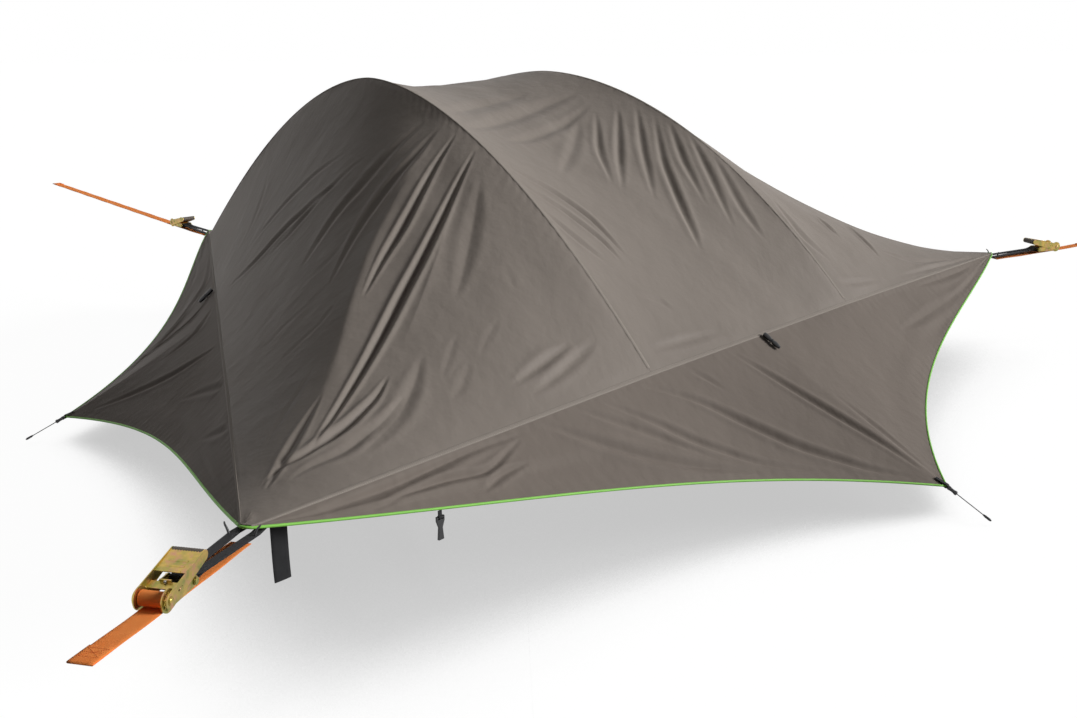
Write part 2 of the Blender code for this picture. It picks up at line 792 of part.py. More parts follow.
def winding_mesh():
    """The strap's turns on the spool: one unbroken spiral band, which prints its least gap to itself."""
    per_turn = 20
    count = int(winding_turns * per_turn)
    inner, outer = [], []
    for i in range(count + 1):
        turned = i / per_turn
        angle = -math.pi / 2 + 2 * math.pi * (turned - winding_turns)
        radius = winding_start + winding_pitch * turned
        inner.append((radius * math.cos(angle), radius * math.sin(angle)))
        radius += strap_thickness
        outer.append((radius * math.cos(angle), radius * math.sin(angle)))
    gaps = [Vector(a).length - Vector(b).length for a, b in zip(inner[per_turn:], outer)]
    print(f"winding: least gap between turns {min(gaps) * 1000:.2f} mm")
    return plate_mesh([inner + outer[::-1]], strap_width, upright=True)


def strap_mesh(reach):
    """A taut strap: doubled and sewn at its tree end, under the winding, then its tail back to the tent."""
    half = strap_thickness / 2
    fold = strap_thickness + fit_gap
    top, bottom = strap_level + half, strap_level - half
    tail_level = strap_level + winding_outer * 0.15
    outline = [
        (-strap_tail, tail_level - half),
        (-spool_radius * 3, bottom),
        (reach, bottom),
        (reach, top + fold),
        (reach - strap_fold, top + fold),
        (reach - strap_fold - fold, top),
        (-spool_radius * 3, top),
        (-strap_tail, tail_level + half),
    ]
    return plate_mesh([outline], strap_width, upright=True)


def sling_mesh():
    """Black webbing in two bands from the trimmed corner to a sleeve on the anchor bolt, with two hooks."""
    bolt_place = (-anchor_distance, 0, 0)
    bore_radius = anchor_radius + fit_gap
    sleeve = rod_mesh(bore_radius + sling_thickness, strap_width, (0, 1, 0), bolt_place)
    bore = rod_mesh(bore_radius, strap_width * 2, (0, 1, 0), bolt_place, round_sides)
    web_edge = -spool_reach - web_stop + 1.5 * fit_gap
    half_width = web_corner_cut / math.sqrt(3)
    corner_edge = -spool_reach + sling_plate_length
    narrow = sling_spread + sling_band_width / 2
    outline = [(web_edge, -half_width), (corner_edge, -narrow), (corner_edge, narrow), (web_edge, half_width)]
    solids = [sleeve, plate_mesh([outline], sling_thickness)]
    for hand in (-1, 1):
        start = (corner_edge - sling_plate_length / 2, hand * sling_spread)
        stop = (-anchor_distance - anchor_radius, hand * (strap_width - sling_band_width) / 2)
        solids.append(plate_mesh([band_outline(start, stop, sling_band_width)], sling_thickness))
        foot = Vector((start[0], hand * (narrow - hook_radius * 2), 0))
        tip = Vector((0, hand * hook_length / 2, hook_length)).normalized()
        middle = foot + tip * hook_length / 2
        solids.append(rod_mesh(hook_radius, hook_length, tip, middle, 8, hook_radius / 2))
    return combined(solids, [bore])


def make_ratchets():
    meshes = {
        "ratchet_frame": frame_mesh(),
        "ratchet_spool": spool_mesh(),
        "strap_winding": winding_mesh(),
        "ratchet_handle": handle_mesh(),
        "lock_pawl": lock_pawl_mesh(),
        "drive_pawl": drive_pawl_mesh(),
        "corner_sling": sling_mesh(),
    }
    looks = {"strap_winding": orange_webbing, "corner_sling": black_webbing}
    folded = Matrix.Rotation(handle_rest, 4, "Y")
    turns = {"ratchet_handle": folded, "drive_pawl": folded, "lock_pawl": Matrix.Rotation(lock_tilt, 4, "Y")}
    for corner in corner_names:
        heading = bpy.data.objects.new("ratchet_place_" + corner, None)
        tent.objects.link(heading)
        heading.rotation_euler = (0, -strap_climb, corner_angle[corner])
        run = heading.rotation_euler.to_matrix() @ Vector((1, 0, 0))
        heading.location = corner_point(corner, corner_radius - web_stop) + run * (spool_reach + web_stop)
        for name, data in meshes.items():
            look = looks.get(name, yellow_zinc)
            add(f"{name}_{corner}", data.copy(), look, heading, turns.get(name, Matrix()))
        add(f"tree_strap_{corner}", strap_mesh(strap_reach[corner]), orange_webbing, heading)


def make_guys():
    """A guy line at each wing tip: an adjuster against the tip, the cord through it and an end piece."""
    adjuster_profile = [
        (adjuster_radius * 0.7, 0.0),
        (adjuster_radius, adjuster_length * 0.15),
        (adjuster_radius * 0.75, adjuster_length * 0.5),
        (adjuster_radius, adjuster_length * 0.85),
        (adjuster_radius * 0.7, adjuster_length),
    ]
    bore = guy_radius + fit_gap
    adjuster_profile += [(bore, adjuster_length), (bore, 0.0), (adjuster_radius * 0.7, 0.0)]
    adjuster = turned_mesh(adjuster_profile, 12)
    end_piece = turned_mesh(
        [
            (0.0, 0.0),
            (guy_end_radius * 0.6, 0.0),
            (guy_end_radius, guy_end_length * 0.3),
            (guy_end_radius, guy_end_length * 0.8),
            (guy_end_radius * 0.5, guy_end_length),
            (0.0, guy_end_length),
        ],
        12,
    )
    run = Vector((0, -math.cos(guy_slope), -math.sin(guy_slope)))
    along = Vector((1, 0, 0)).rotation_difference(run).to_matrix().to_4x4()
    for side in ("front", "right", "left"):
        turn = side_frame(side)
        start = wing_tip(side) + run * (piping_radius + fit_gap * 2)
        place = turn @ Matrix.Translation(start) @ along
        add("guy_adjuster_" + side, adjuster.copy(), black_plastic, matrix=place)
        cord_end = start + run * guy_length
        count = 30
        points = [turn @ start.lerp(cord_end, i / count) for i in range(count + 1)]
        tube("guy_cord_" + side, points, guy_radius, guy_grey)
        place = turn @ Matrix.Translation(cord_end + run * fit_gap) @ along
        add("guy_end_" + side, end_piece.copy(), black_plastic, matrix=place)


def make_toggles():
    """A toggle on the seam at the middle of each side, lying down the wing."""
    waist = toggle_radius * 0.6
    profile = [
        (0.0, 0.0),
        (toggle_radius * 0.8, 0.0),
        (toggle_radius, toggle_length * 0.12),
        (toggle_radius, toggle_length * 0.3),
        (waist, toggle_length * 0.5),
        (toggle_radius, toggle_length * 0.7),
        (toggle_radius * 0.6, toggle_length),
        (0.0, toggle_length),
    ]
    data = turned_mesh(profile, 14)
    for side in ("front", "right", "left"):
        surface = wing_surface(side)
        station, share = divmod(toggle_share[side] * wing_columns, 1)
        near, far = station / wing_columns, (station + 1) / wing_columns
        seam = surface(near, 0).lerp(surface(far, 0), share)
        down = (surface(near, 1 / wing_rows).lerp(surface(far, 1 / wing_rows), share) - seam).normalized()
        up = (Vector((0, 0, 1)) - down * down.z).normalized()
        lift = toggle_radius + fly_thickness / 2 + 2 * fit_gap
        start = seam + up * lift + down * toggle_radius
        along = Matrix((down, up.cross(down), up)).transposed().to_4x4()
        add("toggle_" + side, data.copy(), black_plastic, matrix=Matrix.Translation(start) @ along)


def make_strip():
    """A short end of black webbing that hangs from the front side near the left corner."""
    top = -webbing_thickness / 2 - fit_gap
    size = (strip_width, strip_thickness, strip_length)
    place = (-side_length / 2 + strip_distance, -side_distance + webbing_width / 2, top - strip_length / 2)
    add("hanging_strip", box_mesh(size, place), black_webbing)


def make_clip():
    """A black clip that hangs in a webbing tab on the front wing's edge."""
    edge = edge_point("front", clip_share)
    tab_top = edge.z - piping_radius - 3 * fit_gap
    eye = clip_thickness / 2
    ring = eye + tab_thickness
    tab = plate_mesh([circle(ring, 16), circle(eye, 16)], clip_width / 2, upright=True)
    tab.transform(Matrix.Rotation(math.radians(90), 4, "Z"))
    size = (clip_width / 2, tab_thickness, tab_length)
    neck = box_mesh(size, (0, 0, ring + tab_length / 2 - tab_thickness / 2))
    pivot = Vector((edge.x, edge.y, tab_top - ring - tab_length + tab_thickness / 2))
    add("edge_tab", combined([tab, neck]), black_webbing, matrix=Matrix.Translation(pivot))
    bar = rod_mesh(eye - fit_gap, clip_width, (1, 0, 0), sides=12)
    half = clip_width / 2
    drop = ring + fit_gap * 2
    side_bar = clip_thickness / 2
    outline = [
        (-half, eye),
        (-half + side_bar, eye),
        (-half + side_bar, -drop),
        (half - side_bar, -drop),
        (half - side_bar, eye),
        (half, eye),
        (half, -drop - side_bar),
        (half * 0.45, -drop - clip_length * 0.4),
        (half * 0.7, -drop - clip_length),
        (-half * 0.7, -drop - clip_length),
        (-half * 0.45, -drop - clip_length * 0.4),
        (-half, -drop - side_bar),
    ]
    frame = plate_mesh([outline], clip_thickness, upright=True)
    add("edge_clip", combined([frame, bar]), black_plastic, matrix=Matrix.Translation(pivot))


make_fly()
make_piping()
make_poles()
make_sockets()
make_inner()
make_floor()
make_hatch()
make_ratchets()
make_guys()
make_toggles()
make_strip()
make_clip()
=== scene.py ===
"""The looks of the tree tent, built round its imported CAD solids. Metres, +Z up, front side towards -Y."""

import math

import bmesh
import bpy
import numpy as np
from mathutils import Matrix, Vector


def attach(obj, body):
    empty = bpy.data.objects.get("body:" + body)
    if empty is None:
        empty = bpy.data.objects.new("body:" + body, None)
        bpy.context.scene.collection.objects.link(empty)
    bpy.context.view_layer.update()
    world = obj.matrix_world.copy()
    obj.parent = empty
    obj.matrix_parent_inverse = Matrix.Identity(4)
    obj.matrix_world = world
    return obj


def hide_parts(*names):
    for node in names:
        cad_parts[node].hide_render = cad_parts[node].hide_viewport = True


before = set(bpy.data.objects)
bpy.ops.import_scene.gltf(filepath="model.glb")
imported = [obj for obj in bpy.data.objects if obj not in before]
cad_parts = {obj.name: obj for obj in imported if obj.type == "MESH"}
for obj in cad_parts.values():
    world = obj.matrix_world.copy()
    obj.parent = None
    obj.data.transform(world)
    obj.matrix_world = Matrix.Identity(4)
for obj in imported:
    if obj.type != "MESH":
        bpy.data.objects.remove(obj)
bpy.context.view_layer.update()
scene = bpy.context.scene
scene.view_settings.view_transform = "Standard"

# Camera. It stands near the left corner, 1 m above the straps, and looks over the tent to the right rear. Its focal
# length is in pixels of a picture 1077 wide.
camera_place = Vector((-3.18, -3.109, 1.009))
camera_turn, camera_dip, camera_roll = (math.radians(angle) for angle in (-46.93, 16.17, -0.65))
focal_pixels, picture_pixels, sensor_width = 1094.9, 1077, 36

camera = bpy.data.objects.new("camera", bpy.data.cameras.new("camera"))
scene.collection.objects.link(camera)
camera.data.sensor_width = sensor_width
camera.data.lens = focal_pixels / picture_pixels * sensor_width
camera.data.clip_end = 100
heading = Matrix.Rotation(camera_turn, 3, "Z")
nodding = Matrix.Rotation(math.radians(90) - camera_dip, 3, "X")
camera.location = camera_place
camera.rotation_euler = (heading @ nodding @ Matrix.Rotation(camera_roll, 3, "Z")).to_euler()
scene.camera = camera

# Studio. A pale floor close under the tent takes a soft shadow, drawn from how much open air each spot sees. A low
# sun in front on the right lights the cloth, a weak one stands above, and the world fills the dark side.
floor_level = -0.43
floor_size = 400
floor_glow = 0.97
shadow_share = 0.57
shadow_reach = 0.7
shadow_edges = (0.45, 0.85)
shadow_lean = (0.2, 0.12, 0.97)
floor_shade = 0.07
floor_bounce = 0.2
fill_level = 0.042


def new_material(name):
    made = bpy.data.materials.new(name)
    made.use_nodes = True
    return made, made.node_tree, made.node_tree.nodes["Principled BSDF"]


def node(tree, kind, sockets=None, **settings):
    """A shader node with its settings and its input values or links by name or number."""
    made = tree.nodes.new("ShaderNode" + kind)
    for key, value in settings.items():
        setattr(made, key, value)
    for key, value in (sockets or {}).items():
        if isinstance(value, bpy.types.NodeSocket):
            tree.links.new(value, made.inputs[key])
        else:
            made.inputs[key].default_value = value
    return made


def maths(tree, operation, *values, **settings):
    return node(tree, "Math", dict(enumerate(values)), operation=operation, **settings).outputs[0]


def ranged(tree, value, low, high, first=0.0, last=1.0, **settings):
    """A value from low to high, moved to the range from first to last."""
    sockets = {"Value": value, "From Min": low, "From Max": high, "To Min": first, "To Max": last}
    return node(tree, "MapRange", sockets, **settings).outputs[0]


def seen_directly(tree):
    """1 for the camera, for a mirror reflection and for a view through glass, 0 for the light that reaches the tent."""
    rays = node(tree, "LightPath").outputs
    direct = maths(tree, "MAXIMUM", rays["Is Camera Ray"], rays["Is Glossy Ray"])
    return maths(tree, "MAXIMUM", direct, rays["Is Transmission Ray"])


def add_object(name, data):
    made = bpy.data.objects.new(name, data)
    scene.collection.objects.link(made)
    return made


def sun(name, azimuth, elevation, spread, strength):
    """A sun in a direction from the tent, in degrees, with the spread of its soft edge."""
    made = add_object(name, bpy.data.lights.new(name, "SUN"))
    made.data.angle = math.radians(spread)
    made.data.energy = strength
    made.rotation_euler = (math.radians(90 - elevation), 0, math.radians(azimuth + 90))


studio_mesh = bpy.data.meshes.new("studio_floor")
work = bmesh.new()
bmesh.ops.create_grid(work, x_segments=1, y_segments=1, size=floor_size)
bmesh.ops.translate(work, vec=(0, 0, floor_level), verts=work.verts)
work.to_mesh(studio_mesh)
work.free()
studio_floor = add_object("studio_floor", studio_mesh)
studio_white, tree, shader = new_material("studio_white")
shader.inputs["Roughness"].default_value = 1
shader.inputs["Specular IOR Level"].default_value = 0
seen = seen_directly(tree)
tree.links.new(ranged(tree, seen, 0, 1, floor_bounce, floor_shade), shader.inputs["Base Color"])
leaning = node(tree, "CombineXYZ", dict(enumerate(shadow_lean))).outputs[0]
air = node(tree, "AmbientOcclusion", {"Distance": shadow_reach, "Normal": leaning}, samples=8).outputs["AO"]
darkest = floor_glow * shadow_share
glow = ranged(tree, air, *shadow_edges, darkest, floor_glow, interpolation_type="SMOOTHSTEP")
shader.inputs["Emission Color"].default_value = (1, 1, 1, 1)
tree.links.new(maths(tree, "MULTIPLY", seen, glow), shader.inputs["Emission Strength"])
studio_mesh.materials.append(studio_white)

world = bpy.data.worlds.new("studio_world")
scene.world = world
world.use_nodes = True
tree = world.node_tree
background = tree.nodes["Background"]
background.inputs["Color"].default_value = (1, 1, 1, 1)
tree.links.new(ranged(tree, seen_directly(tree), 0, 1, fill_level, 1.0), background.inputs["Strength"])
sun("key_sun", -50, 21, 20, 3.4)
sun("top_sun", -30, 80, 45, 0.15)


# Guy lines. A grey braided cord, 3 mm thick, runs out and down from each of the three wing tips, as a guy does, and
# ends in a small black end piece.
sides = ("front", "left", "right")
side_length = 4.1
tent = {
    "side": side_length,
    "corner": side_length / math.sqrt(3),
    "half": side_length / math.sqrt(3) / 2,
    "reach": {"front": 0.69, "left": 0.59, "right": 0.59},
    "drop": 0.337,
    "turn": {"front": 0.0, "right": math.radians(120), "left": math.radians(240)},
    "heading": {"left": math.radians(210), "right": math.radians(330), "rear": math.radians(90)},
}
guy_slope = math.radians(27)
guy_diameter = 0.003
guy_length = 0.13
guy_steps = 30
tip_gap = 0.0041


def side_turn(side):
    return Matrix.Rotation(tent["turn"][side], 4, "Z")


def mixed(tree, factor, first, second):
    """A colour between two, by a factor from 0 to 1."""
    return node(tree, "Mix", {0: factor, 6: first, 7: second}, data_type="RGBA").outputs[2]


def bumped(tree, height, strength, distance, normal=None):
    sockets = {"Height": height, "Strength": strength, "Distance": distance}
    if normal:
        sockets["Normal"] = normal
    return node(tree, "Bump", sockets).outputs[0]


def effect(name, inputs, outputs):
    """An empty group of shader nodes. inputs and outputs give the name and kind of each socket."""
    made = bpy.data.node_groups.new(name, "ShaderNodeTree")
    for way, sockets in (("INPUT", inputs), ("OUTPUT", outputs)):
        for label, kind in sockets.items():
            made.interface.new_socket(name=label, in_out=way, socket_type="NodeSocket" + kind)
    return made, made.nodes.new("NodeGroupInput").outputs, made.nodes.new("NodeGroupOutput").inputs


def effect_look(name, group, values, fixed):
    """A material under one effect. values go into the effect, and fixed ones straight into the shader."""
    made, tree, shader = new_material(name)
    coordinates = node(tree, "TexCoord").outputs
    values = {"UV": coordinates["UV"], "Place": coordinates["Object"], **values}
    placed = node(tree, "Group", node_tree=group)
    for socket in placed.inputs:
        value = values[socket.name]
        if isinstance(value, bpy.types.NodeSocket):
            tree.links.new(value, socket)
        else:
            socket.default_value = (*value, 1) if isinstance(value, tuple) else value
    for source, target in (("Colour", "Base Color"), ("Roughness", "Roughness"), ("Normal", "Normal")):
        if source in placed.outputs:
            tree.links.new(placed.outputs[source], shader.inputs[target])
    for key, value in fixed.items():
        shader.inputs[key].default_value = (*value, 1) if isinstance(value, tuple) else value
    return made


def curved(name, route, radius, look, resolution=3, kind="POLY", closed=False):
    """A round cord along a route of points."""
    curve = bpy.data.curves.new(name, "CURVE")
    curve.dimensions = "3D"
    curve.bevel_depth = radius
    curve.bevel_resolution = resolution
    curve.use_fill_caps = not closed
    spline = curve.splines.new(kind)
    spline.points.add(len(route) - 1)
    spline.use_cyclic_u = closed
    spline.use_endpoint_u = not closed
    for point, spot in zip(spline.points, route):
        point.co = (*spot, 1)
    curve.materials.append(look)
    return add_object(name, curve)


def fastened(piece, body, slot, *solids):
    """Fixes a piece to its body, in place of its CAD solids."""
    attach(piece, body)
    if solids:
        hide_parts(*solids)
    return piece


sockets = {"UV": "Vector", "Colour": "Color", "Shade": "Color", "Pitch": "Float"}
crossed_braid, given, result = effect("crossed_braid", sockets, {"Colour": "Color", "Normal": "Vector"})
tree = crossed_braid
parts = node(tree, "SeparateXYZ", {0: given["UV"]}).outputs
strands = []
for slant in (1, -1):
    summed = maths(tree, "MULTIPLY_ADD", parts[1], slant, parts[0])
    turns = maths(tree, "DIVIDE", maths(tree, "MULTIPLY", summed, math.tau), given["Pitch"])
    strands.append(maths(tree, "SINE", turns))
# The colour darkens where the strands dip, a painted shade in the gaps between them.
height = maths(tree, "MAXIMUM", *strands)
spread = ranged(tree, height, -0.5, 1)
tree.links.new(mixed(tree, spread, given["Shade"], given["Colour"]), result["Colour"])
tree.links.new(bumped(tree, height, 0.5, 0.0004), result["Normal"])

colours = {"Colour": (0.3, 0.3, 0.31), "Shade": (0.1, 0.1, 0.1), "Pitch": 0.004}
guy_look = effect_look("guy_braid", crossed_braid, colours, {"Roughness": 0.75})
guy_run = Vector((0, -math.cos(guy_slope), -math.sin(guy_slope)))
guy_pieces = {}
for side in sides:
    start = Vector((0, -tent["half"] - tent["reach"][side], -tent["drop"])) + guy_run * tip_gap
    route = [side_turn(side) @ (start + guy_run * guy_length * i / guy_steps) for i in range(guy_steps + 1)]
    cord = curved("guy_line_" + side, route, guy_diameter / 2, guy_look)
    fastened(cord, "tent", "guy_grey", "guy_cord_" + side)
    guy_pieces[side] = (cord, route[0])


# Rainfly. Six panels of taupe coated cloth, three over the poles and three wings, pulled tight to the corners and
# wing tips. Each is a fine grid on the sewn shape, with its creases pressed in along the surface.
ridge_base = 0.034
ridge_rise = 0.85
corner_height = 0.02
seam_half_gap = 0.00045
panel_trim = 0.02
front_foot_share = 0.35
rear_foot_share = 0.93
ridge_skew, ridge_power, ridge_bow = 0.257, 1.756, 0.079
front_sag, rear_bulge = 0.32, 0.18
wing_belly = 0.012
edge_draw, edge_lean = 0.12, 0.7
fly_corner = tent["corner"] - 2 * seam_half_gap
arch_share = 26 / 29
cone_power = 1.8
edge_gap = 0.0038
cloth_thread = 0.0012
pucker_pitch, pucker_reach, pucker_height = 0.04, 0.03, 0.0008


def corner_point(name, radius, height):
    angle = tent["heading"][name]
    return np.array([radius * math.cos(angle), radius * math.sin(angle), height])


def front_corner(hand):
    """The front corner on a side: hand is -1 on the left, 1 on the right."""
    return "left" if hand < 0 else "right"


def ridge_line(along, hand, radius=fly_corner, base=ridge_base, rise=ridge_rise):
    """The line over a pole, from its front foot to its rear foot."""
    along = np.asarray(along, float)[..., None]
    near = corner_point(front_corner(hand), radius, 0)
    other = corner_point(front_corner(-hand), radius, 0)
    front_foot = near + (other - near) * front_foot_share
    rear_foot = near + (corner_point("rear", radius, 0) - near) * rear_foot_share
    skewed = along + ridge_skew * along * (1 - along)
    lift = 1 - np.abs(2 * skewed - 1) ** ridge_power
    run = (rear_foot - front_foot) / np.linalg.norm(rear_foot - front_foot)
    outward = np.array([run[1], -run[0], 0]) * hand
    line = front_foot + (rear_foot - front_foot) * along + outward * ridge_bow * lift
    return line + np.array([0, 0, 1]) * (base + rise * lift)


def ridge_sag(along):
    """How far the cloth between the ridges hangs in, at the front, or bulges, at the rear."""
    return front_sag * (1 - along) ** 2 - rear_bulge * along**2


def side_shape(hand, trim):
    """The cone of cloth from a front corner to the ridge, by shares along the ridge and out to it."""

    def place(along, across):
        ridge = ridge_line(along, hand)
        corner = corner_point(front_corner(hand), fly_corner, corner_height)
        length = np.linalg.norm(ridge - corner, axis=-1, keepdims=True)
        first = trim / length
        reach = first + (1 - first - seam_half_gap / length) * np.asarray(across, float)[..., None]
        level = ridge.copy()
        level[..., 2] = ridge_base
        points = corner + (level - corner) * reach
        points[..., 2:] += (ridge[..., 2:] - ridge_base) * reach**cone_power
        return points

    return place


def middle_shape(trim):
    """The cloth between the ridges, by shares from the front seam to the rear corner and from left to right."""

    def place(length_share, across):
        along = np.minimum(length_share / arch_share, 1)
        left, right = ridge_line(along, -1), ridge_line(along, 1)
        first = seam_half_gap / np.linalg.norm(right - left, axis=-1)
        across = first + (1 - 2 * first) * across
        points = left + (right - left) * across[..., None]
        bowed = 4 * across * (1 - across)
        points[..., 2] = ridge_base + (points[..., 2] - ridge_base) * (1 - ridge_sag(along) * bowed)
        rear = corner_point("rear", fly_corner, corner_height)
        onward = np.clip((length_share - arch_share) / (1 - arch_share), 0, 1)[..., None]
        length = np.linalg.norm(rear - points, axis=-1, keepdims=True)
        return points + (rear - points) * onward * (1 - trim / length)

    return place


def unit(vectors):
    return vectors / (np.linalg.norm(vectors, axis=-1, keepdims=True) + 1e-12)


def upward(vectors):
    """Unit vectors along these, each turned round if it points down."""
    return unit(vectors) * np.where(vectors[..., 2:] < 0, -1.0, 1.0)


def travelled(route):
    """How far along a route each of its points lies."""
    return np.concatenate([[0], np.cumsum(np.linalg.norm(np.diff(route, axis=0), axis=-1))])


def turned(points, angle):
    c, s = math.cos(angle), math.sin(angle)
    x, y = points[..., 0], points[..., 1]
    return np.stack([x * c - y * s, x * s + y * c, points[..., 2]], -1)


def wing_edge(side, share):
    """The wing's free edge as if beside the front side, drawn in between the corners and the guyed tip."""
    share = np.asarray(share, float)
    hand = np.where(share < 0.5, -1.0, 1.0)
    reach = 1 - np.abs(2 * share - 1)
    out = tent["reach"][side]
    corner = np.stack([hand * tent["side"] / 2, 0 * share - tent["half"], 0 * share + corner_height], -1)
    tip = np.array([0, -tent["half"] - out, -tent["drop"]])
    chord = math.hypot(out, tent["side"] / 2)
    inward = np.stack([-hand * out / chord, 0 * share + tent["side"] / 2 / chord, 0 * share], -1)
    draw = edge_draw * 4 * reach * (1 - reach) * (1 + edge_lean * (2 * reach - 1))
    return corner + (tip - corner) * reach[..., None] + inward * draw[..., None]


def seam_level(side, share):
    """Height of the seam along a side. It climbs from the corners to the ridges' feet."""
    feet = {"front": (front_foot_share, 1 - front_foot_share), "right": (rear_foot_share, rear_foot_share)}
    first, last = feet.get(side, (1 - rear_foot_share, 1 - rear_foot_share))
    rising = np.minimum(np.minimum(share / first, (1 - share) / (1 - last)), 1)
    return corner_height + (ridge_base - corner_height) * rising


def wing_shape(side, trim):
    """A wing, by shares along its seam and out from the seam to the piping."""

    def place(along, out):
        share = trim / tent["side"] + (1 - 2 * trim / tent["side"]) * along
        beside = 0 * share - tent["half"] - seam_half_gap
        seam = np.stack([(share - 0.5) * tent["side"], beside, seam_level(side, share)], -1)
        edge = wing_edge(side, share)
        length = np.linalg.norm(seam - edge, axis=-1, keepdims=True)
        edge = edge + (seam - edge) / length * edge_gap
        points = seam + (edge - seam) * out[..., None]
        points[..., 2] -= wing_belly * 4 * out * (1 - out) * length[..., 0] / tent["reach"][side]
        return turned(points, tent["turn"][side])

    return place


def crease_heights(points, place, creases):
    """Each crease is its half width and height in millimetres, then its line, in thousandths along and across. Below
    zero it is a narrow valley with a low lip on both sides, above zero a sharp fold with long slopes."""
    total = np.zeros(points.shape[:2])
    for width, height, *shares in creases:
        line = np.array(shares, float).reshape(-1, 2) / 1000
        count = 6 * (len(line) - 1)
        knots, steps = np.arange(len(line)), np.linspace(0, len(line) - 1, count + 1)
        route = np.stack([np.interp(steps, knots, line[:, k]) for k in (0, 1)], -1)
        for _ in range(3):
            route[1:-1] = (route[:-2] + 2 * route[1:-1] + route[2:]) / 4
        track = place(route[:, 0], route[:, 1])
        best = np.full(points.shape[:2], 9.0)
        best_share = np.zeros(points.shape[:2])
        for i in range(count):
            run = track[i + 1] - track[i]
            share = np.clip(((points - track[i]) @ run) / (run @ run), 0, 1)
            distance = np.linalg.norm(points - (track[i] + share[..., None] * run), axis=-1)
            closer = distance < best
            best = np.where(closer, distance, best)
            best_share = np.where(closer, (i + share) / count, best_share)
        taper = np.sin(np.pi * np.clip(best_share, 0.001, 0.999))
        offset = best / (width / 1000)
        if height > 0:
            total += height / 1000 * taper * np.exp(-np.sqrt(offset**2 + 0.01))
            continue
        offset /= 0.35 + 0.65 * taper
        lip = 0.42 * np.exp(-(((offset - 1.9) / 0.95) ** 2))
        total += height / 1000 * taper * (np.exp(-(offset**1.6)) - lip)
    return total


def ripple_heights(points, along, across, waves):
    """Slow uneven ripples of the cloth, as sums of slanting waves over the (along, across) shares."""
    total = np.zeros(points.shape[:2])
    for per_along, per_across, phase, height in waves:
        drift = 1.1 * np.sin(math.tau * (1.3 * across + phase)) + 0.9 * np.sin(math.tau * (2.1 * along - phase))
        swell = 0.55 + 0.45 * np.sin(math.tau * (0.9 * along + 1.4 * across + 2.3 * phase))
        total += height * swell * np.sin(math.tau * (per_along * along + per_across * across + phase) + drift)
    span = np.linalg.norm(np.gradient(points, axis=0), axis=-1) / np.gradient(along, axis=0)
    return total * np.clip(1.8 * (span / span.max()) ** 1.5, 0, 1)


def laid_grid(points, uvs):
    """A grid laid on rows of points, with a UV map in metres."""
    rows, columns = points.shape[0] - 1, points.shape[1] - 1
    work = bmesh.new()
    bmesh.ops.create_grid(work, x_segments=rows, y_segments=columns, size=0.5)
    layer = work.loops.layers.uv.new("cloth")
    spots = [(round((vert.co.x + 0.5) * rows), round((vert.co.y + 0.5) * columns)) for vert in work.verts]
    work.verts.index_update()
    for face in work.faces:
        for loop in face.loops:
            loop[layer].uv = uvs[spots[loop.vert.index]]
    for vert, spot in zip(work.verts, spots):
        vert.co = points[spot]
    return work


def mesh_object(name, work, look, sharp=None):
    """An object from a bmesh, smooth but for edges over the angle sharp, in degrees."""
    data = bpy.data.meshes.new(name)
    work.to_mesh(data)
    work.free()
    data.shade_smooth()
    if sharp:
        data.set_sharp_from_angle(angle=math.radians(sharp))
    made = add_object(name, data)
    data.materials.append(look)
    return made


def cloth_panel(name, place, rows, columns, creases, waves, look, size, hold=0.03, fine=((0, 0), (1, 1))):
    """A panel of cloth: the sewn shape, plus its creases and ripples, which fade out at the sewn edges, where the
    stitching puckers it. fine sets where its rows stand closer."""
    stations = np.interp(np.linspace(0, 1, rows + 1), [row[0] for row in fine], [row[1] for row in fine])
    along, across = np.meshgrid(stations, np.linspace(0, 1, columns + 1), indexing="ij")
    points = place(along, across)
    heights = crease_heights(points, place, creases) + ripple_heights(points, along, across, waves)
    steps = [np.linalg.norm(np.diff(points, axis=k), axis=-1) for k in (0, 1)]
    ends = np.minimum(along, 1 - along) * np.pad(steps[0].sum(0)[None], ((0, rows), (0, 0)), "edge")
    sides = np.minimum(across, 1 - across) * np.pad(steps[1].sum(1)[:, None], ((0, 0), (0, columns)), "edge")
    fade = np.clip(np.minimum(ends, sides) / hold, 0, 1)
    fade = fade * fade * (3 - 2 * fade)
    pucker = np.sin(math.tau * along * size[0] / pucker_pitch + 2 * np.sin(along * 41)) * pucker_height
    pucker *= np.exp(-sides / pucker_reach) * np.clip(sides / 0.012, 0, 1) * np.clip(ends / 0.05, 0, 1)
    normals = upward(np.cross(np.gradient(points, axis=0), np.gradient(points, axis=1)))
    points = points + normals * (heights * fade + pucker)[..., None]
    return mesh_object(name, laid_grid(points, np.stack([along * size[0], across * size[1]], -1)), look)


def noise_value(tree, vector, scale, detail=3.0):
    return node(tree, "TexNoise", {"Vector": vector, "Scale": scale, "Detail": detail}).outputs["Fac"]


def stretched_noise(tree, vector, scale, detail=3.0, rotation=(0, 0, 0)):
    """Noise with its own scale in each direction, after a turn."""
    sockets = {"Vector": vector, "Rotation": rotation, "Scale": scale}
    return noise_value(tree, node(tree, "Mapping", sockets).outputs[0], 1.0, detail)


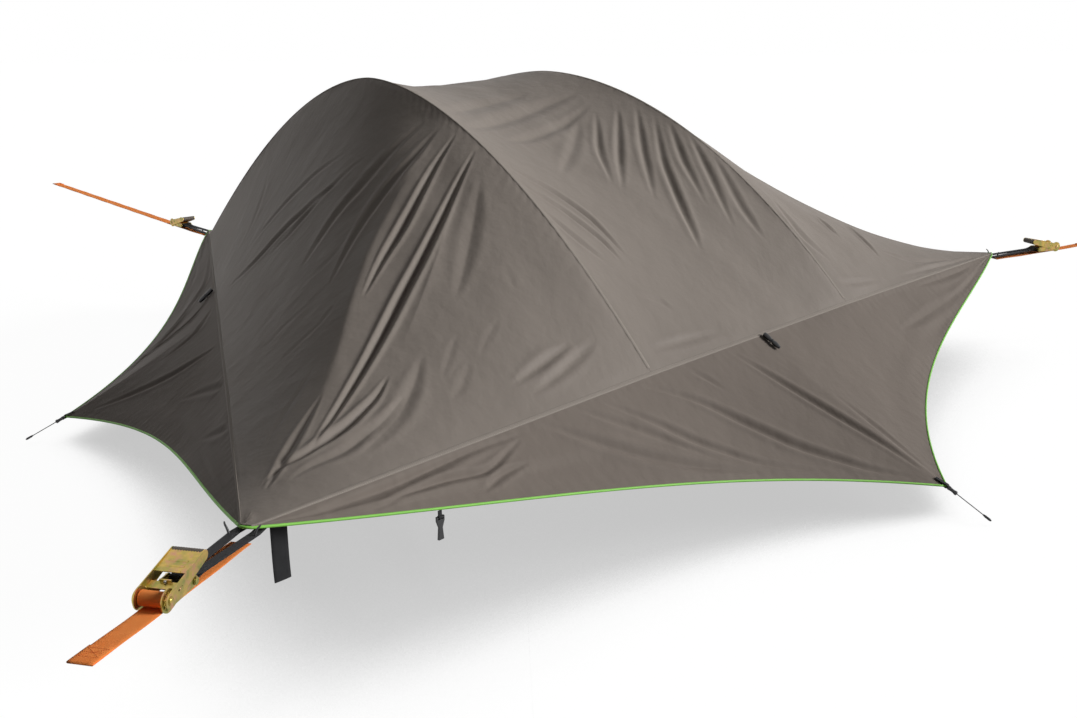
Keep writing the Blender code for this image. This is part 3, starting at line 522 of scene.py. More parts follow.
sockets = {"UV": "Vector", "Place": "Vector", "Colour": "Color", "Shade": "Color", "Ripple": "Float"}
results = {"Colour": "Color", "Roughness": "Float", "Normal": "Vector"}
coated_cloth, given, result = effect("coated_cloth", sockets, results)
tree = coated_cloth
streak_turn = [math.radians(angle) for angle in (25, -35, 15)]
wrinkle = stretched_noise(tree, given["Place"], (13.0, 13.0, 2.6), 3.0, streak_turn)
fine = noise_value(tree, given["Place"], 30.0, 2.0)
cloud = noise_value(tree, given["Place"], 1.6)
parts = node(tree, "SeparateXYZ", {0: given["UV"]}).outputs
threads = []
for axis in (0, 1):
    turns = maths(tree, "MULTIPLY", parts[axis], math.tau / cloth_thread)
    threads.append(maths(tree, "SINE", turns))
weave = maths(tree, "MULTIPLY", *threads)
spread = ranged(tree, cloud, 0.3, 0.7)
tree.links.new(mixed(tree, spread, given["Shade"], given["Colour"]), result["Colour"])
tree.links.new(ranged(tree, cloud, 0, 1, 0.52, 0.68), result["Roughness"])
normal = bumped(tree, wrinkle, 0.5, given["Ripple"])
normal = bumped(tree, fine, 0.25, 0.001, normal)
tree.links.new(bumped(tree, weave, 0.2, 0.0002, normal), result["Normal"])

colours = {"Colour": (0.25, 0.217, 0.19), "Shade": (0.225, 0.195, 0.17), "Ripple": 0.01}
fly_look = effect_look("fly_cloth_look", coated_cloth, colours, {"Specular IOR Level": 0.15})
colours = {"Colour": (0.212, 0.181, 0.157), "Shade": (0.188, 0.16, 0.139), "Ripple": 0.01}
wing_look = effect_look("wing_cloth_look", coated_cloth, colours, {"Specular IOR Level": 0.05})
left_creases = [
    (100, 38, 288, 990, 305, 870, 325, 756, 345, 610, 345, 500, 335, 420, 330, 300, 330, 100),
    (11.5, -19, 236, 977, 242, 870, 246, 726, 251, 595, 251, 495, 253, 341, 259, 197),
    (10.5, -15, 267, 977, 281, 876, 293, 756, 301, 696, 313, 625, 323, 528),
    (16, -10, 293, 963, 317, 863, 355, 756, 383, 679, 435, 518),
    (18, -7, 317, 960, 357, 863, 413, 749, 505, 625, 563, 555),
    (11, -13, 192, 425, 184, 368, 194, 291, 216, 241, 277, 171, 475, 84),
    (14, -6, 138, 421, 128, 334, 142, 227, 244, 124),
    (14, -10, 457, 766, 589, 696, 770, 622, 934, 599),
    (12, -6, 407, 829, 497, 742, 621, 652, 737, 609),
    (12, -5, 457, 833, 551, 789, 687, 732, 820, 686),
    (10, -1.3, 409, 649, 443, 589, 501, 545, 589, 485),
    (10, -1.3, 423, 532, 531, 452, 657, 388, 737, 358),
    (10, -1.6, 381, 512, 421, 441, 543, 358, 693, 294),
    (10, -1.6, 395, 361, 437, 284, 499, 211, 589, 137),
    (18, -6, 164, 518, 134, 441, 108, 351, 96, 254),
    (10, -1.4, 140, 612, 128, 565, 112, 512),
    (12, -1.8, 102, 595, 82, 538, 74, 495),
    (10, -1.2, 112, 722, 108, 672, 96, 612),
    (12, -1.2, 146, 833, 124, 806, 108, 826),
    (14, -9, 46, 843, 46, 746, 44, 635),
    (14, -7, 38, 913, 32, 799, 24, 659),
    (20, 6, 240, 896, 232, 779, 220, 635, 204, 492),
    (20, -5, 218, 940, 196, 803, 172, 669),
    (20, -2, 700, 950, 760, 800, 860, 700),
    (10, -6, 330, 300, 360, 180, 400, 80),
]
middle_creases = [
    (13, -12, 182, 30, 164, 157, 134, 231, 90, 237),
    (12, -10, 160, 17, 140, 120, 110, 187, 86, 197),
    (12, -8, 134, 10, 106, 67, 84, 127),
    (30, -10, 240, 20, 287, 334, 315, 679, 315, 886),
    (22, -9, 238, 174, 263, 478, 289, 836),
    (30, -7, 269, 10, 329, 371, 349, 729),
    (13, -9, 275, 809, 224, 612, 176, 495),
    (14, -10, 269, 913, 216, 689, 166, 505),
    (14, -9, 257, 970, 204, 773, 148, 602),
    (15, -11, 236, 980, 180, 783, 112, 635, 86, 575),
    (14, -8, 218, 987, 174, 866, 124, 776),
    (14, -8, 192, 990, 150, 906, 92, 789),
    (16, -7, 164, 990, 108, 896, 72, 866),
    (20, -6, 275, 716, 230, 498, 192, 298),
    (12, -4, 58, 147, 48, 221, 38, 247),
    (13, -6, 14, 37, 14, 187, 12, 371),
    (30, -7, 420, 100, 450, 500, 430, 900),
    (35, -7, 550, 950, 600, 500, 570, 100),
    (30, -6, 680, 900, 730, 600, 700, 200),
    (15, -6, 930, 300, 900, 450, 840, 500),
]
right_creases = [
    (14, -7, 152, 719, 120, 740, 92, 753),
    (12, -8, 196, 538, 114, 602, 56, 639),
    (11, -7, 20, 980, 16, 906, 14, 759),
    (18, -6, 130, 933, 70, 977, 42, 930),
    (14, -7, 14, 50, 16, 318, 14, 649),
    (14, -6, 82, 582, 46, 441, 46, 197),
    (14, -13, 250, 960, 240, 700, 245, 450, 250, 200),
    (15, -9, 310, 950, 340, 750, 400, 550),
    (15, -9, 450, 800, 580, 700, 750, 620, 900, 600),
    (12, -6, 420, 500, 550, 400, 700, 330),
    (12, -6, 400, 300, 460, 200, 550, 120),
    (20, -6, 600, 900, 680, 800, 800, 720),
]
side_waves = [(3, 1.1, 0.1, 0.003), (5, -2.3, 0.4, 0.0018), (2, 3.6, 0.7, 0.0025), (8, -4.5, 0.25, 0.0007)]
middle_waves = [(5, 1.1, 0.3, 0.0025), (9, -2.0, 0.8, 0.0014), (2, 3.2, 0.15, 0.002), (14, 3.5, 0.55, 0.0006)]
wing_waves = [(3, 1.0, 0.2, 0.0025), (6, -1.5, 0.6, 0.0014)]
front_creases = [
    (15, -13, 329, 43, 369, 294, 393, 532, 415, 742, 453, 916, 485, 957),
    (13, -12, 447, 30, 463, 224, 481, 498, 493, 709, 500, 950),
    (10, -6, 507, 400, 510, 669, 507, 940),
    (17, -11, 220, 77, 246, 398, 281, 696, 313, 849, 363, 950),
    (12, -8, 281, 50, 309, 348, 333, 625, 365, 860, 420, 960),
    (12, -6, 255, 30, 277, 254, 305, 518, 335, 799),
    (15, -12, 202, 124, 156, 97, 120, 177, 88, 291, 56, 401, 28, 592),
    (10, -8, 198, 151, 176, 311, 156, 482, 120, 441, 90, 572, 66, 890),
    (10, -7, 188, 485, 162, 569, 142, 803),
    (10, -5, 387, 64, 397, 151, 403, 254),
    (20, -5, 866, 726, 790, 629, 699, 488),
    (15, -7, 930, 300, 870, 200, 790, 120),
]
side_creases = [
    (13, -11, 401, 30, 441, 234, 437, 522, 420, 950),
    (14, -6, 465, 30, 520, 144, 521, 441),
    (15, -5, 737, 30, 723, 157, 663, 552),
    (15, -5, 830, 30, 834, 130, 800, 609),
    (16, -6, 174, 30, 321, 124, 369, 468, 430, 950),
    (16, -7, 300, 30, 400, 500, 470, 930),
    (14, -7, 620, 30, 580, 500, 520, 930),
]
crowded = {"fly_left": ((0, 0), (0.08, 0.1), (0.68, 0.45), (1, 1))}
left, right, middle = side_shape(-1, panel_trim), side_shape(1, panel_trim), middle_shape(panel_trim)
panels = [
    ("fly_left", "fly_panel_left", left, 430, 225, left_creases, side_waves, (3.4, 1.6), (3.5, 2.6), 3.9),
    ("fly_right", "fly_panel_right", right, 360, 200, right_creases, side_waves, (3.4, 1.6), (3.5, 2.6), 3.9),
    ("fly_middle", "fly_panel_middle", middle, 430, 150, middle_creases, middle_waves, (3.7, 1.1), (4.0, 1.25), 3.6),
]
wings = (("front", front_creases, 0.8, 1.35), ("left", side_creases, 0.7, 1.2), ("right", side_creases, 0.7, 1.2))
for side, creases, width, area in wings:
    shape = wing_shape(side, panel_trim)
    panel = ("wing_" + side, "fly_wing_" + side, shape, 400, 90, creases, wing_waves, (3.9, 0.7), (4.1, width), area)
    panels.append(panel)
for name, solid, shape, rows, columns, creases, waves, size, flat, area in panels:
    look = wing_look if name.startswith("wing") else fly_look
    fine = crowded.get(name, ((0, 0), (1, 1)))
    panel = cloth_panel(name, shape, rows, columns, creases, waves, look, size, fine=fine)
    fastened(panel, "tent", "fly_cloth", solid)


# Seams of the fly. Each is a flat folded band of the same cloth, 14 mm wide, laid over the joint of two panels and
# sewn down with two rows of thread.
seam_half_width = 0.007
seam_lift = 0.0012
seam_stations = 260
stitch_pitch = 0.006
stitch_width = 0.0012


def ribbon(name, middle, first, second, look):
    """A thin band laid on a bent seam: from its middle line down to a line on each side, lifted off the cloth."""
    normals = upward(np.cross(np.gradient(middle, axis=0), second - first))
    shares = np.array([-1, -0.8, 0, 0.8, 1])
    inner_lines = [middle + (first - middle) * 0.8, middle, middle + (second - middle) * 0.8]
    heights = seam_lift * np.array([0.4, 1.0, 1.15, 1.0, 0.4])
    points = np.stack([first, *inner_lines, second]) + normals * heights[:, None, None]
    uvs = np.stack(np.broadcast_arrays(travelled(middle)[None], (shares * seam_half_width)[:, None]), -1)
    work = laid_grid(points, uvs)
    work.normal_update()
    if sum(face.normal.z for face in work.faces) < 0:
        bmesh.ops.reverse_faces(work, faces=work.faces)
    return fastened(mesh_object(name, work, look), "tent", "fly_cloth")


def stepped(start, towards):
    """Points half a seam's width from a line of points towards another line."""
    return start + unit(towards - start) * seam_half_width


seam_cloth, tree, shader = new_material("seam_cloth_look")
uv = node(tree, "TexCoord").outputs["UV"]
parts = node(tree, "SeparateXYZ", {0: uv}).outputs
dashes = maths(tree, "SINE", maths(tree, "MULTIPLY", parts[0], math.tau / stitch_pitch))
dashes = maths(tree, "GREATER_THAN", dashes, -0.35)
offset = maths(tree, "SUBTRACT", maths(tree, "ABSOLUTE", parts[1]), seam_half_width * 0.62)
row = maths(tree, "LESS_THAN", maths(tree, "ABSOLUTE", offset), stitch_width / 2)
stitch = maths(tree, "MULTIPLY", dashes, row)
colour = mixed(tree, stitch, (0.27, 0.236, 0.207, 1), (0.36, 0.33, 0.29, 1))
tree.links.new(colour, shader.inputs["Base Color"])
pull = stretched_noise(tree, uv, (90.0, 30.0, 1.0))
normal = bumped(tree, stitch, 0.8, 0.0005, bumped(tree, pull, 0.7, 0.0012))
tree.links.new(normal, shader.inputs["Normal"])
shader.inputs["Roughness"].default_value = 0.7
shader.inputs["Specular IOR Level"].default_value = 0.15
share = np.linspace(0.004, 0.996, seam_stations)
ones = np.ones(seam_stations)
for hand, shape in ((-1, left), (1, right)):
    line = ridge_line(share, hand)
    outside = shape(share, 0.98 * ones)
    inside = middle(share * arch_share, (0.02 if hand < 0 else 0.98) * ones)
    ribbon("ridge_seam_" + front_corner(hand), line, stepped(line, outside), stepped(line, inside), seam_cloth)
share = np.linspace(panel_trim / tent["side"], 1 - panel_trim / tent["side"], seam_stations)
for side in sides:
    line = np.stack([(share - 0.5) * tent["side"], 0 * share - tent["half"], seam_level(side, share)], -1)
    line = turned(line, tent["turn"][side])
    below = wing_shape(side, panel_trim)((share - share[0]) / (share[-1] - share[0]), 0.05 * ones)
    above = line + (0.03 * -line / np.linalg.norm(line[:, :2], axis=-1, keepdims=True)) * [1, 1, 0]
    foot = front_foot_share if side == "front" else rear_foot_share
    for hand, shape in ((-1, left), (1, right)):
        corner = corner_point(front_corner(hand), tent["corner"], 0)
        reach = np.linalg.norm(line[:, :2] - corner[:2], axis=-1) / tent["side"]
        near = (reach < foot) & (side == "front" or (side == "left") == (hand < 0))
        lifted = shape((0.02 if side == "front" else 0.98) * ones, np.clip(reach / foot, 0.02, 1))
        above = np.where(near[:, None], lifted, above)
    if side == "front":
        between = (share > foot) & (share < 1 - foot)
        inner = middle(0.02 * ones, np.clip((share - foot) / (1 - 2 * foot), 0, 1))
        above = np.where(between[:, None], inner, above)
    ribbon("side_seam_" + side, line, stepped(line, below), stepped(line, above), seam_cloth)


# Corner patches. A second layer of a browner cloth strengthens each wing where it meets a corner. It is sewn flat to
# the wing's under side.
patch_length = 0.2145
patch_lift = 0.0014
wing_uv_length = 3.9
colours = {"Colour": (0.19, 0.145, 0.118), "Shade": (0.17, 0.13, 0.105), "Ripple": 0.006}
patch_look = effect_look("patch_cloth_look", coated_cloth, colours, {"Specular IOR Level": 0.15})
for side in sides:
    work = bmesh.new()
    work.from_mesh(bpy.data.objects["wing_" + side].data)
    layer = work.loops.layers.uv.active
    last = wing_uv_length - patch_length
    away = [face for face in work.faces if patch_length < face.loops[0][layer].uv.x < last]
    bmesh.ops.delete(work, geom=away, context="FACES")
    for vert in work.verts:
        vert.co += vert.normal * patch_lift
    fastened(mesh_object("corner_patch_" + side, work, patch_look), "tent", "fly_cloth")


# Piping. A lime green cord, 7 mm thick in its own cloth edge, is sewn along the free edges of the three wings. It is
# one ring round the whole fly.
piping_radius = 0.0035
piping_steps = 161
sockets = {"Place": "Vector", "Colour": "Color", "Shade": "Color"}
sockets |= {"Clouds": "Float", "Fibres": "Float", "Depth": "Float"}
fibre_grain, given, result = effect("fibre_grain", sockets, {"Colour": "Color", "Normal": "Vector"})
tree = fibre_grain
cloud = noise_value(tree, given["Place"], given["Clouds"])
tree.links.new(mixed(tree, cloud, given["Shade"], given["Colour"]), result["Colour"])
grain = noise_value(tree, given["Place"], given["Fibres"])
tree.links.new(bumped(tree, grain, 0.4, given["Depth"]), result["Normal"])
colours = {"Colour": (0.3, 0.72, 0.11), "Shade": (0.2, 0.56, 0.06), "Clouds": 9.0, "Fibres": 700.0, "Depth": 0.0004}
piping_look = effect_look("piping_look", fibre_grain, colours, {"Roughness": 0.55})
route = []
share = np.linspace(panel_trim / tent["side"], 1 - panel_trim / tent["side"], piping_steps)
for side, corner in (("front", "right"), ("right", "rear"), ("left", "left")):
    route += list(turned(wing_edge(side, share), tent["turn"][side]))
    route.append(corner_point(corner, tent["corner"] - panel_trim / 3, corner_height))
piping = curved("fly_edge_piping", route, piping_radius, piping_look, 4, closed=True)
fastened(piping, "tent", "piping_green", "fly_piping")


# Webbing. Every band is woven with ribs along it. The straps and bands are swept from flat sections, and the webs
# of the floor keep the shape of their CAD solids with softened edges.
strap_climb = math.radians(4.5)
web_stop = 0.079
spool_reach = 0.34
rib_pitch = 0.0021
web_bevel = 0.0008
stitch_insets, stitch_stop, stitch_level = (0.006, 0.046), 0.16, 0.0017
rib_turns = math.tau / rib_pitch
sockets = {"UV": "Vector", "Place": "Vector", "Colour": "Color", "Shade": "Color"}
ribbed_weave, given, result = effect("ribbed_weave", sockets, {"Colour": "Color", "Normal": "Vector"})
tree = ribbed_weave
parts = node(tree, "SeparateXYZ", {0: given["UV"]}).outputs
ribs = maths(tree, "SINE", maths(tree, "MULTIPLY", parts[1], rib_turns))
slant = maths(tree, "MULTIPLY", parts[0], rib_turns * 0.8)
slant = maths(tree, "SINE", maths(tree, "MULTIPLY_ADD", ribs, 1.6, slant))
height = maths(tree, "MULTIPLY_ADD", ribs, 0.6, slant)
worn = noise_value(tree, given["Place"], 24.0, 4.0)
# The colour darkens in the low parts of the weave, a painted shade in its grooves, and varies with noisy wear.
groove_shade_and_wear = maths(tree, "MULTIPLY", ranged(tree, height, -1.6, 1.2), worn)
groove_shade_and_wear = maths(tree, "MULTIPLY", groove_shade_and_wear, 1.7, use_clamp=True)
tree.links.new(mixed(tree, groove_shade_and_wear, given["Shade"], given["Colour"]), result["Colour"])
tree.links.new(bumped(tree, height, 0.4, 0.00022), result["Normal"])


def webbing_look(name, colour, shade, sheen=0.0):
    """Woven webbing. Its loose fibres give it a sheen at low angles."""
    fixed = {"Roughness": 0.72, "Specular IOR Level": 0.2, "Sheen Weight": sheen, "Sheen Roughness": 0.4}
    return effect_look(name, ribbed_weave, {"Colour": colour, "Shade": shade}, {**fixed, "Sheen Tint": colour})


def thread_look(name, colour, shade):
    values = {"Colour": colour, "Shade": shade, "Clouds": 900.0, "Fibres": 900.0, "Depth": 0.0002}
    return effect_look(name, fibre_grain, values, {"Roughness": 0.8})


def band(name, route, across, width, thickness, look, slot, *solids, body="tent", cup=0.0):
    """A flat band swept along a route, with rounded edges. across is its unit vector across the width. cup lifts its
    edges. It is fastened to its body, in place of its CAD solids."""
    route, across = np.array(route, float), np.array(across, float)
    up = unit(np.cross(across, np.gradient(route, axis=0)))
    shares = (-0.94, -0.6, -0.2, 0.2, 0.6, 0.94)
    section = [(share, 0.5) for share in shares] + [(1, 0)] + [(-share, -0.5) for share in shares] + [(-1, 0)]
    share, level = np.array(section + section[:1]).T
    aside, lift = share * width / 2, level * thickness + cup * share**2
    points = route[:, None] + across * aside[:, None] + up[:, None] * lift[:, None]
    work = laid_grid(points, np.stack(np.broadcast_arrays(travelled(route)[:, None], aside[None]), -1))
    bmesh.ops.remove_doubles(work, verts=work.verts, dist=0.000001)
    layer = work.loops.layers.uv.active
    rims = [edge for edge in work.edges if edge.is_boundary]
    for face in bmesh.ops.edgeloop_fill(work, edges=rims)["faces"]:
        middle = np.array(face.calc_center_median())
        end = 0 if np.linalg.norm(middle - route[0]) < np.linalg.norm(middle - route[-1]) else -1
        for loop in face.loops:
            offset = np.array(loop.vert.co) - route[end]
            loop[layer].uv = (offset @ up[end], offset @ across)
    bmesh.ops.recalc_face_normals(work, faces=work.faces)
    return fastened(mesh_object(name, work, look, 70), body, slot, *solids)


def dressed(solid, look, body, slot, bevel, mapped=None):
    """A merged copy of a CAD solid with softened edges and its finished material. mapped gives a point's UV."""
    work = bmesh.new()
    work.from_mesh(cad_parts[solid].data)
    bmesh.ops.remove_doubles(work, verts=work.verts, dist=0.00002)
    bmesh.ops.dissolve_limit(work, angle_limit=math.radians(2), verts=work.verts, edges=work.edges)
    bmesh.ops.recalc_face_normals(work, faces=work.faces)
    if mapped:
        layer = work.loops.layers.uv.new("cloth")
        for face in work.faces:
            middle = face.calc_center_median()
            for loop in face.loops:
                loop[layer].uv = mapped(loop.vert.co, middle)
    made = mesh_object(solid + "_finished", work, look, 30)
    if bevel:
        rounding = made.modifiers.new("rounding", "BEVEL")
        rounding.width = bevel
        rounding.segments = 2
        rounding.angle_limit = math.radians(30)
    return fastened(made, body, slot, solid)


def stitch_rows(name, rows, look, body, slot, pitch=0.004, radius=0.0004):
    """Rows of raised stitches: short arched threads laid end to end along each line of two points."""
    turns = [math.tau * k / 5 for k in range(5)]
    work = bmesh.new()
    for start, stop, up in rows:
        start, stop, up = Vector(start), Vector(stop), Vector(up).normalized()
        run = (stop - start).normalized()
        side = run.cross(up)
        for i in range(max(int((stop - start).length / pitch), 1)):
            first = start + run * pitch * (i + 0.1)
            rings = []
            for share, size in ((0.0, 0.5), (0.4, 1.0), (0.8, 0.5)):
                middle = first + run * pitch * share + up * radius * (size - 0.7)
                ring = [middle + (side * math.cos(a) + up * math.sin(a)) * radius * size for a in turns]
                rings.append([work.verts.new(spot) for spot in ring])
            for low, high in zip(rings, rings[1:]):
                for k in range(5):
                    work.faces.new((low[k], low[k - 4], high[k - 4], high[k]))
            work.faces.new(rings[0][::-1])
            work.faces.new(rings[-1])
    bmesh.ops.recalc_face_normals(work, faces=work.faces)
    return fastened(mesh_object(name, work, look), body, slot)


def ratchet_place(corner):
    """The matrix of a ratchet: its origin on the spool's axis, +X towards the tree."""
    turn = Matrix.Rotation(tent["heading"][corner], 4, "Z") @ Matrix.Rotation(-strap_climb, 4, "Y")
    run = turn.to_3x3() @ Vector((1, 0, 0))
    start = Vector(corner_point(corner, tent["corner"] - web_stop, 0)) + run * (spool_reach + web_stop)
    return Matrix.Translation(start) @ turn


def beside_side(point, middle):
    """UV of the floor's webs: along and across the nearest side."""
    turns = {side: side_turn(side).inverted() for side in sides}
    side = min(turns, key=lambda name: (turns[name] @ middle).y)
    place = turns[side] @ point
    return (place.x, place.y + tent["half"])


def towards_corner(point, middle):
    """UV of the webs that run from the hatch to the corners."""
    if middle.xy.length < 0.38:
        return beside_side(point, middle)
    corner = max(tent["heading"], key=lambda name: Vector(corner_point(name, 1, 0)).dot(middle))
    run = Vector(corner_point(corner, 1, 0))
    return (run.dot(point), run.cross(Vector(point)).z)


black_webbing = webbing_look("black_webbing_look", (0.028, 0.028, 0.03), (0.008, 0.008, 0.009))
orange_webbing = webbing_look("orange_webbing_look", (1.0, 0.35, 0.095), (1.0, 0.23, 0.042), sheen=0.7)
thread_black = thread_look("thread_black", (0.08, 0.08, 0.085), (0.03, 0.03, 0.032))
thread_orange = thread_look("thread_orange", (0.8, 0.16, 0.03), (0.45, 0.05, 0.01))
dressed("perimeter_web", black_webbing, "tent", "black_webbing", web_bevel, beside_side)
dressed("floor_web", black_webbing, "tent", "black_webbing", web_bevel, towards_corner)
rows = []
for side in sides:
    for inset in stitch_insets:
        reach = (tent["half"] - inset) * math.sqrt(3) - stitch_stop
        for up in (1, -1):
            ends = [(hand * reach, -tent["half"] + inset, up * stitch_level) for hand in (-1, 1)]
            rows.append((*(side_turn(side) @ Vector(end) for end in ends), (0, 0, up)))
stitch_rows("web_stitches", rows, thread_black, "tent", "black_webbing", 0.009, 0.0006)


# Black plastic. Moulded parts with a fine matt grain: sockets, hooks, toggles, the clip and the guys' fittings. Worn
# spots on them are a little paler.
sockets = {"Place": "Vector", "Colour": "Color", "Worn": "Color", "Roughness": "Float"}
moulded_grain, given, result = effect("moulded_grain", sockets, results)
tree = moulded_grain
cloud = noise_value(tree, given["Place"], 40.0)
tree.links.new(mixed(tree, cloud, given["Colour"], given["Worn"]), result["Colour"])
smoothest = maths(tree, "SUBTRACT", given["Roughness"], 0.1)
tree.links.new(maths(tree, "MULTIPLY_ADD", cloud, 0.22, smoothest), result["Roughness"])
grain = noise_value(tree, given["Place"], 1800.0)
tree.links.new(bumped(tree, grain, 0.25, 0.0001), result["Normal"])


def plastic_look(name, colour, roughness=0.42):
    worn = tuple(2.2 * part for part in colour)
    return effect_look(name, moulded_grain, {"Colour": colour, "Worn": worn, "Roughness": roughness}, {})


black_plastic = plastic_look("black_plastic_look", (0.011, 0.011, 0.012))


# Slings. At each corner two black bands run from the sewn webs to the anchor bolt of the ratchet, wrap round it and
# come back. A cross-stitched box closes each loop, and two small hooks for the inner's cords stand beside them.
anchor_distance = 0.095
loop_radius = 0.0074
loop_run = 0.045
sling_width = 0.0232
sling_layer = 0.002
sling_lift = sling_layer / 2 + 0.0001
bolt_spread, plate_spread, web_spread = 0.0125, 0.0235, 0.0165
box_half, box_length = 0.008, 0.03
hook_radius, hook_spread = 0.0026, 0.03
hook_bend = [(0, 0, 0), (0, 0.002, 0.008), (0, 0.006, 0.016), (-0.002, 0.0105, 0.021), (-0.006, 0.0125, 0.0235)]
box_lines = ((0, 1), (1, 2), (2, 3), (3, 0), (0, 2), (1, 3))
for corner in tent["heading"]:
    place = ratchet_place(corner)
    turn = place.to_3x3()
    for hand, mark in ((-1, "a"), (1, "b")):
        near_bolt = Vector((-anchor_distance - loop_run, hand * bolt_spread))
        at_plate = Vector((-spool_reach - 0.012, hand * plate_spread))
        at_web = Vector((-spool_reach - web_stop + 0.0045, hand * web_spread))
        outer = []
        for first, last in ((at_web, at_plate), (at_plate, near_bolt)):
            outer += [(*first.lerp(last, k / 8), sling_lift) for k in range(8)]
        for share in (k / 9 for k in range(9)):
            rise = sling_lift + (loop_radius - sling_layer / 2) * share * share * (3 - 2 * share)
            outer.append((near_bolt.x + loop_run * share, near_bolt.y, rise))
        arc = []
        for a in (math.pi / 2 - math.pi * k / 12 for k in range(13)):
            arc.append((-anchor_distance + loop_radius * math.cos(a), near_bolt.y, loop_radius * math.sin(a)))
        route = [place @ Vector(spot) for spot in outer + arc + [(x, y, -z) for x, y, z in outer[::-1]]]
        name = f"sling_band_{corner}_{mark}"
        across = turn @ Vector((0, 1, 0))
        solids = ["corner_sling_" + corner] if hand < 0 else []
        band(name, route, across, sling_width, sling_layer, black_webbing, "black_webbing", *solids)
        rows = []
        for x in (-anchor_distance - 0.05, -spool_reach + 0.02):
            middle = near_bolt.y + (at_plate.y - near_bolt.y) * (x - near_bolt.x) / (at_plate.x - near_bolt.x)
            box = [(x, -box_half), (x, box_half), (x - box_length, box_half), (x - box_length, -box_half)]
            for high in (1, -1):
                spots = [place @ Vector((a, middle + b, high * (sling_layer + 0.0002))) for a, b in box]
                rows += [(spots[a], spots[b], turn @ Vector((0, 0, high))) for a, b in box_lines]
        stitch_rows(f"sling_stitches_{corner}_{mark}", rows, thread_black, "tent", "black_webbing", 0.003)
        foot = Vector((-spool_reach + 0.005, hand * hook_spread, 0.001))
        spots = [place @ (foot + Vector((x, hand * y, z))) for x, y, z in hook_bend]
        hook = curved(f"corner_hook_{corner}_{mark}", spots, hook_radius, black_plastic, 4, "NURBS")
        for k, point in enumerate(hook.data.splines[0].points):
            point.radius = 1.25 - 0.14 * k
        fastened(hook, "tent", "black_plastic")


# Ratchets. Stamped steel with yellow zinc plating: the frame's plates, handle, toothed wheels, shaft and pawls keep
# their CAD shapes, with rounded edges, riveted heads, coil springs and a ribbed grip on the handle's bar.
sockets = {"Place": "Vector", "Colour": "Color", "Greenish": "Color", "Rosy": "Color"}
plated_clouds, given, result = effect("plated_clouds", sockets, results)
tree = plated_clouds
cloud = noise_value(tree, given["Place"], 34.0, 4.0)
base = mixed(tree, ranged(tree, cloud, 0.38, 0.62), given["Colour"], given["Greenish"])
blush = ranged(tree, noise_value(tree, given["Place"], 75.0), 0.5, 0.72)
tree.links.new(mixed(tree, blush, base, given["Rosy"]), result["Colour"])
tree.links.new(ranged(tree, cloud, 0, 1, 0.2, 0.5), result["Roughness"])
scratch = stretched_noise(tree, given["Place"], (300.0, 300.0, 2400.0), 2.0)
tree.links.new(bumped(tree, scratch, 0.25, 0.0002), result["Normal"])


def plated_look(name, colour, greenish, rosy):
    values = {"Colour": colour, "Greenish": greenish, "Rosy": rosy}
    return effect_look(name, plated_clouds, values, {"Metallic": 1})


def lathe(name, profile, place, look, body, slot, sides=36, *solids):
    """A turned part: a profile of (radius, height) points spun about a matrix's own Z axis."""
    work = bmesh.new()
    verts = [work.verts.new((radius, 0, height)) for radius, height in profile]
    edges = [work.edges.new(pair) for pair in zip(verts, verts[1:])]
    spinning = {"cent": (0, 0, 0), "axis": (0, 0, 1), "angle": math.tau, "steps": sides, "use_merge": True}
    bmesh.ops.spin(work, geom=verts + edges, **spinning)
    bmesh.ops.remove_doubles(work, verts=work.verts, dist=0.000001)
    bmesh.ops.transform(work, matrix=place, verts=work.verts)
    bmesh.ops.recalc_face_normals(work, faces=work.faces)
    return fastened(mesh_object(name, work, look, 35), body, slot, *solids)


yellow_zinc = plated_look("yellow_zinc_look", (0.54, 0.37, 0.1), (0.27, 0.265, 0.075), (0.52, 0.27, 0.16))
spring_steel = plated_look("spring_steel_look", (0.42, 0.4, 0.37), (0.35, 0.34, 0.32), (0.4, 0.37, 0.33))
grip_look = plastic_look("grip_look", (0.05, 0.038, 0.028), 0.5)
handle_rest = math.radians(18)
lock_tilt = math.radians(-12)
frame_outer = 0.02975
wheel_outer = 0.0366
pawl_tip = 0.0196
handle_length = 0.132
handle_inner = 0.03345
grip_ribs = 11
spring_turns, spring_steps, spring_radius, spring_wire = 6, 96, 0.0026, 0.0004
spring_start, spring_length, spring_height = pawl_tip + 0.0215, 0.005, 0.0046
rib_reaches, rib_rise = (0.068, 0.083, 0.098), 0.01
cap = [(0.0052, 0.0), (0.0064, 0.0002), (0.0066, 0.0008), (0.0058, 0.0014), (0.003, 0.0017), (0, 0.0018)]
head = [(0.0062, 0.0), (0.0058, 0.0006), (0.004, 0.0011), (0, 0.0013)]
step = (2 * handle_inner - 0.004) / grip_ribs
grip = [(0.0086, 0.0), (0.0102, 0.0004)]
for start in (0.0012 + step * k for k in range(grip_ribs)):
    grip += [(0.0104, start), (0.0112, start + step * 0.25), (0.0112, start + step * 0.6)]
    grip.append((0.0104, start + step * 0.85))
grip += [(0.0102, 2 * handle_inner - 0.002), (0.0086, 2 * handle_inner - 0.0016)]
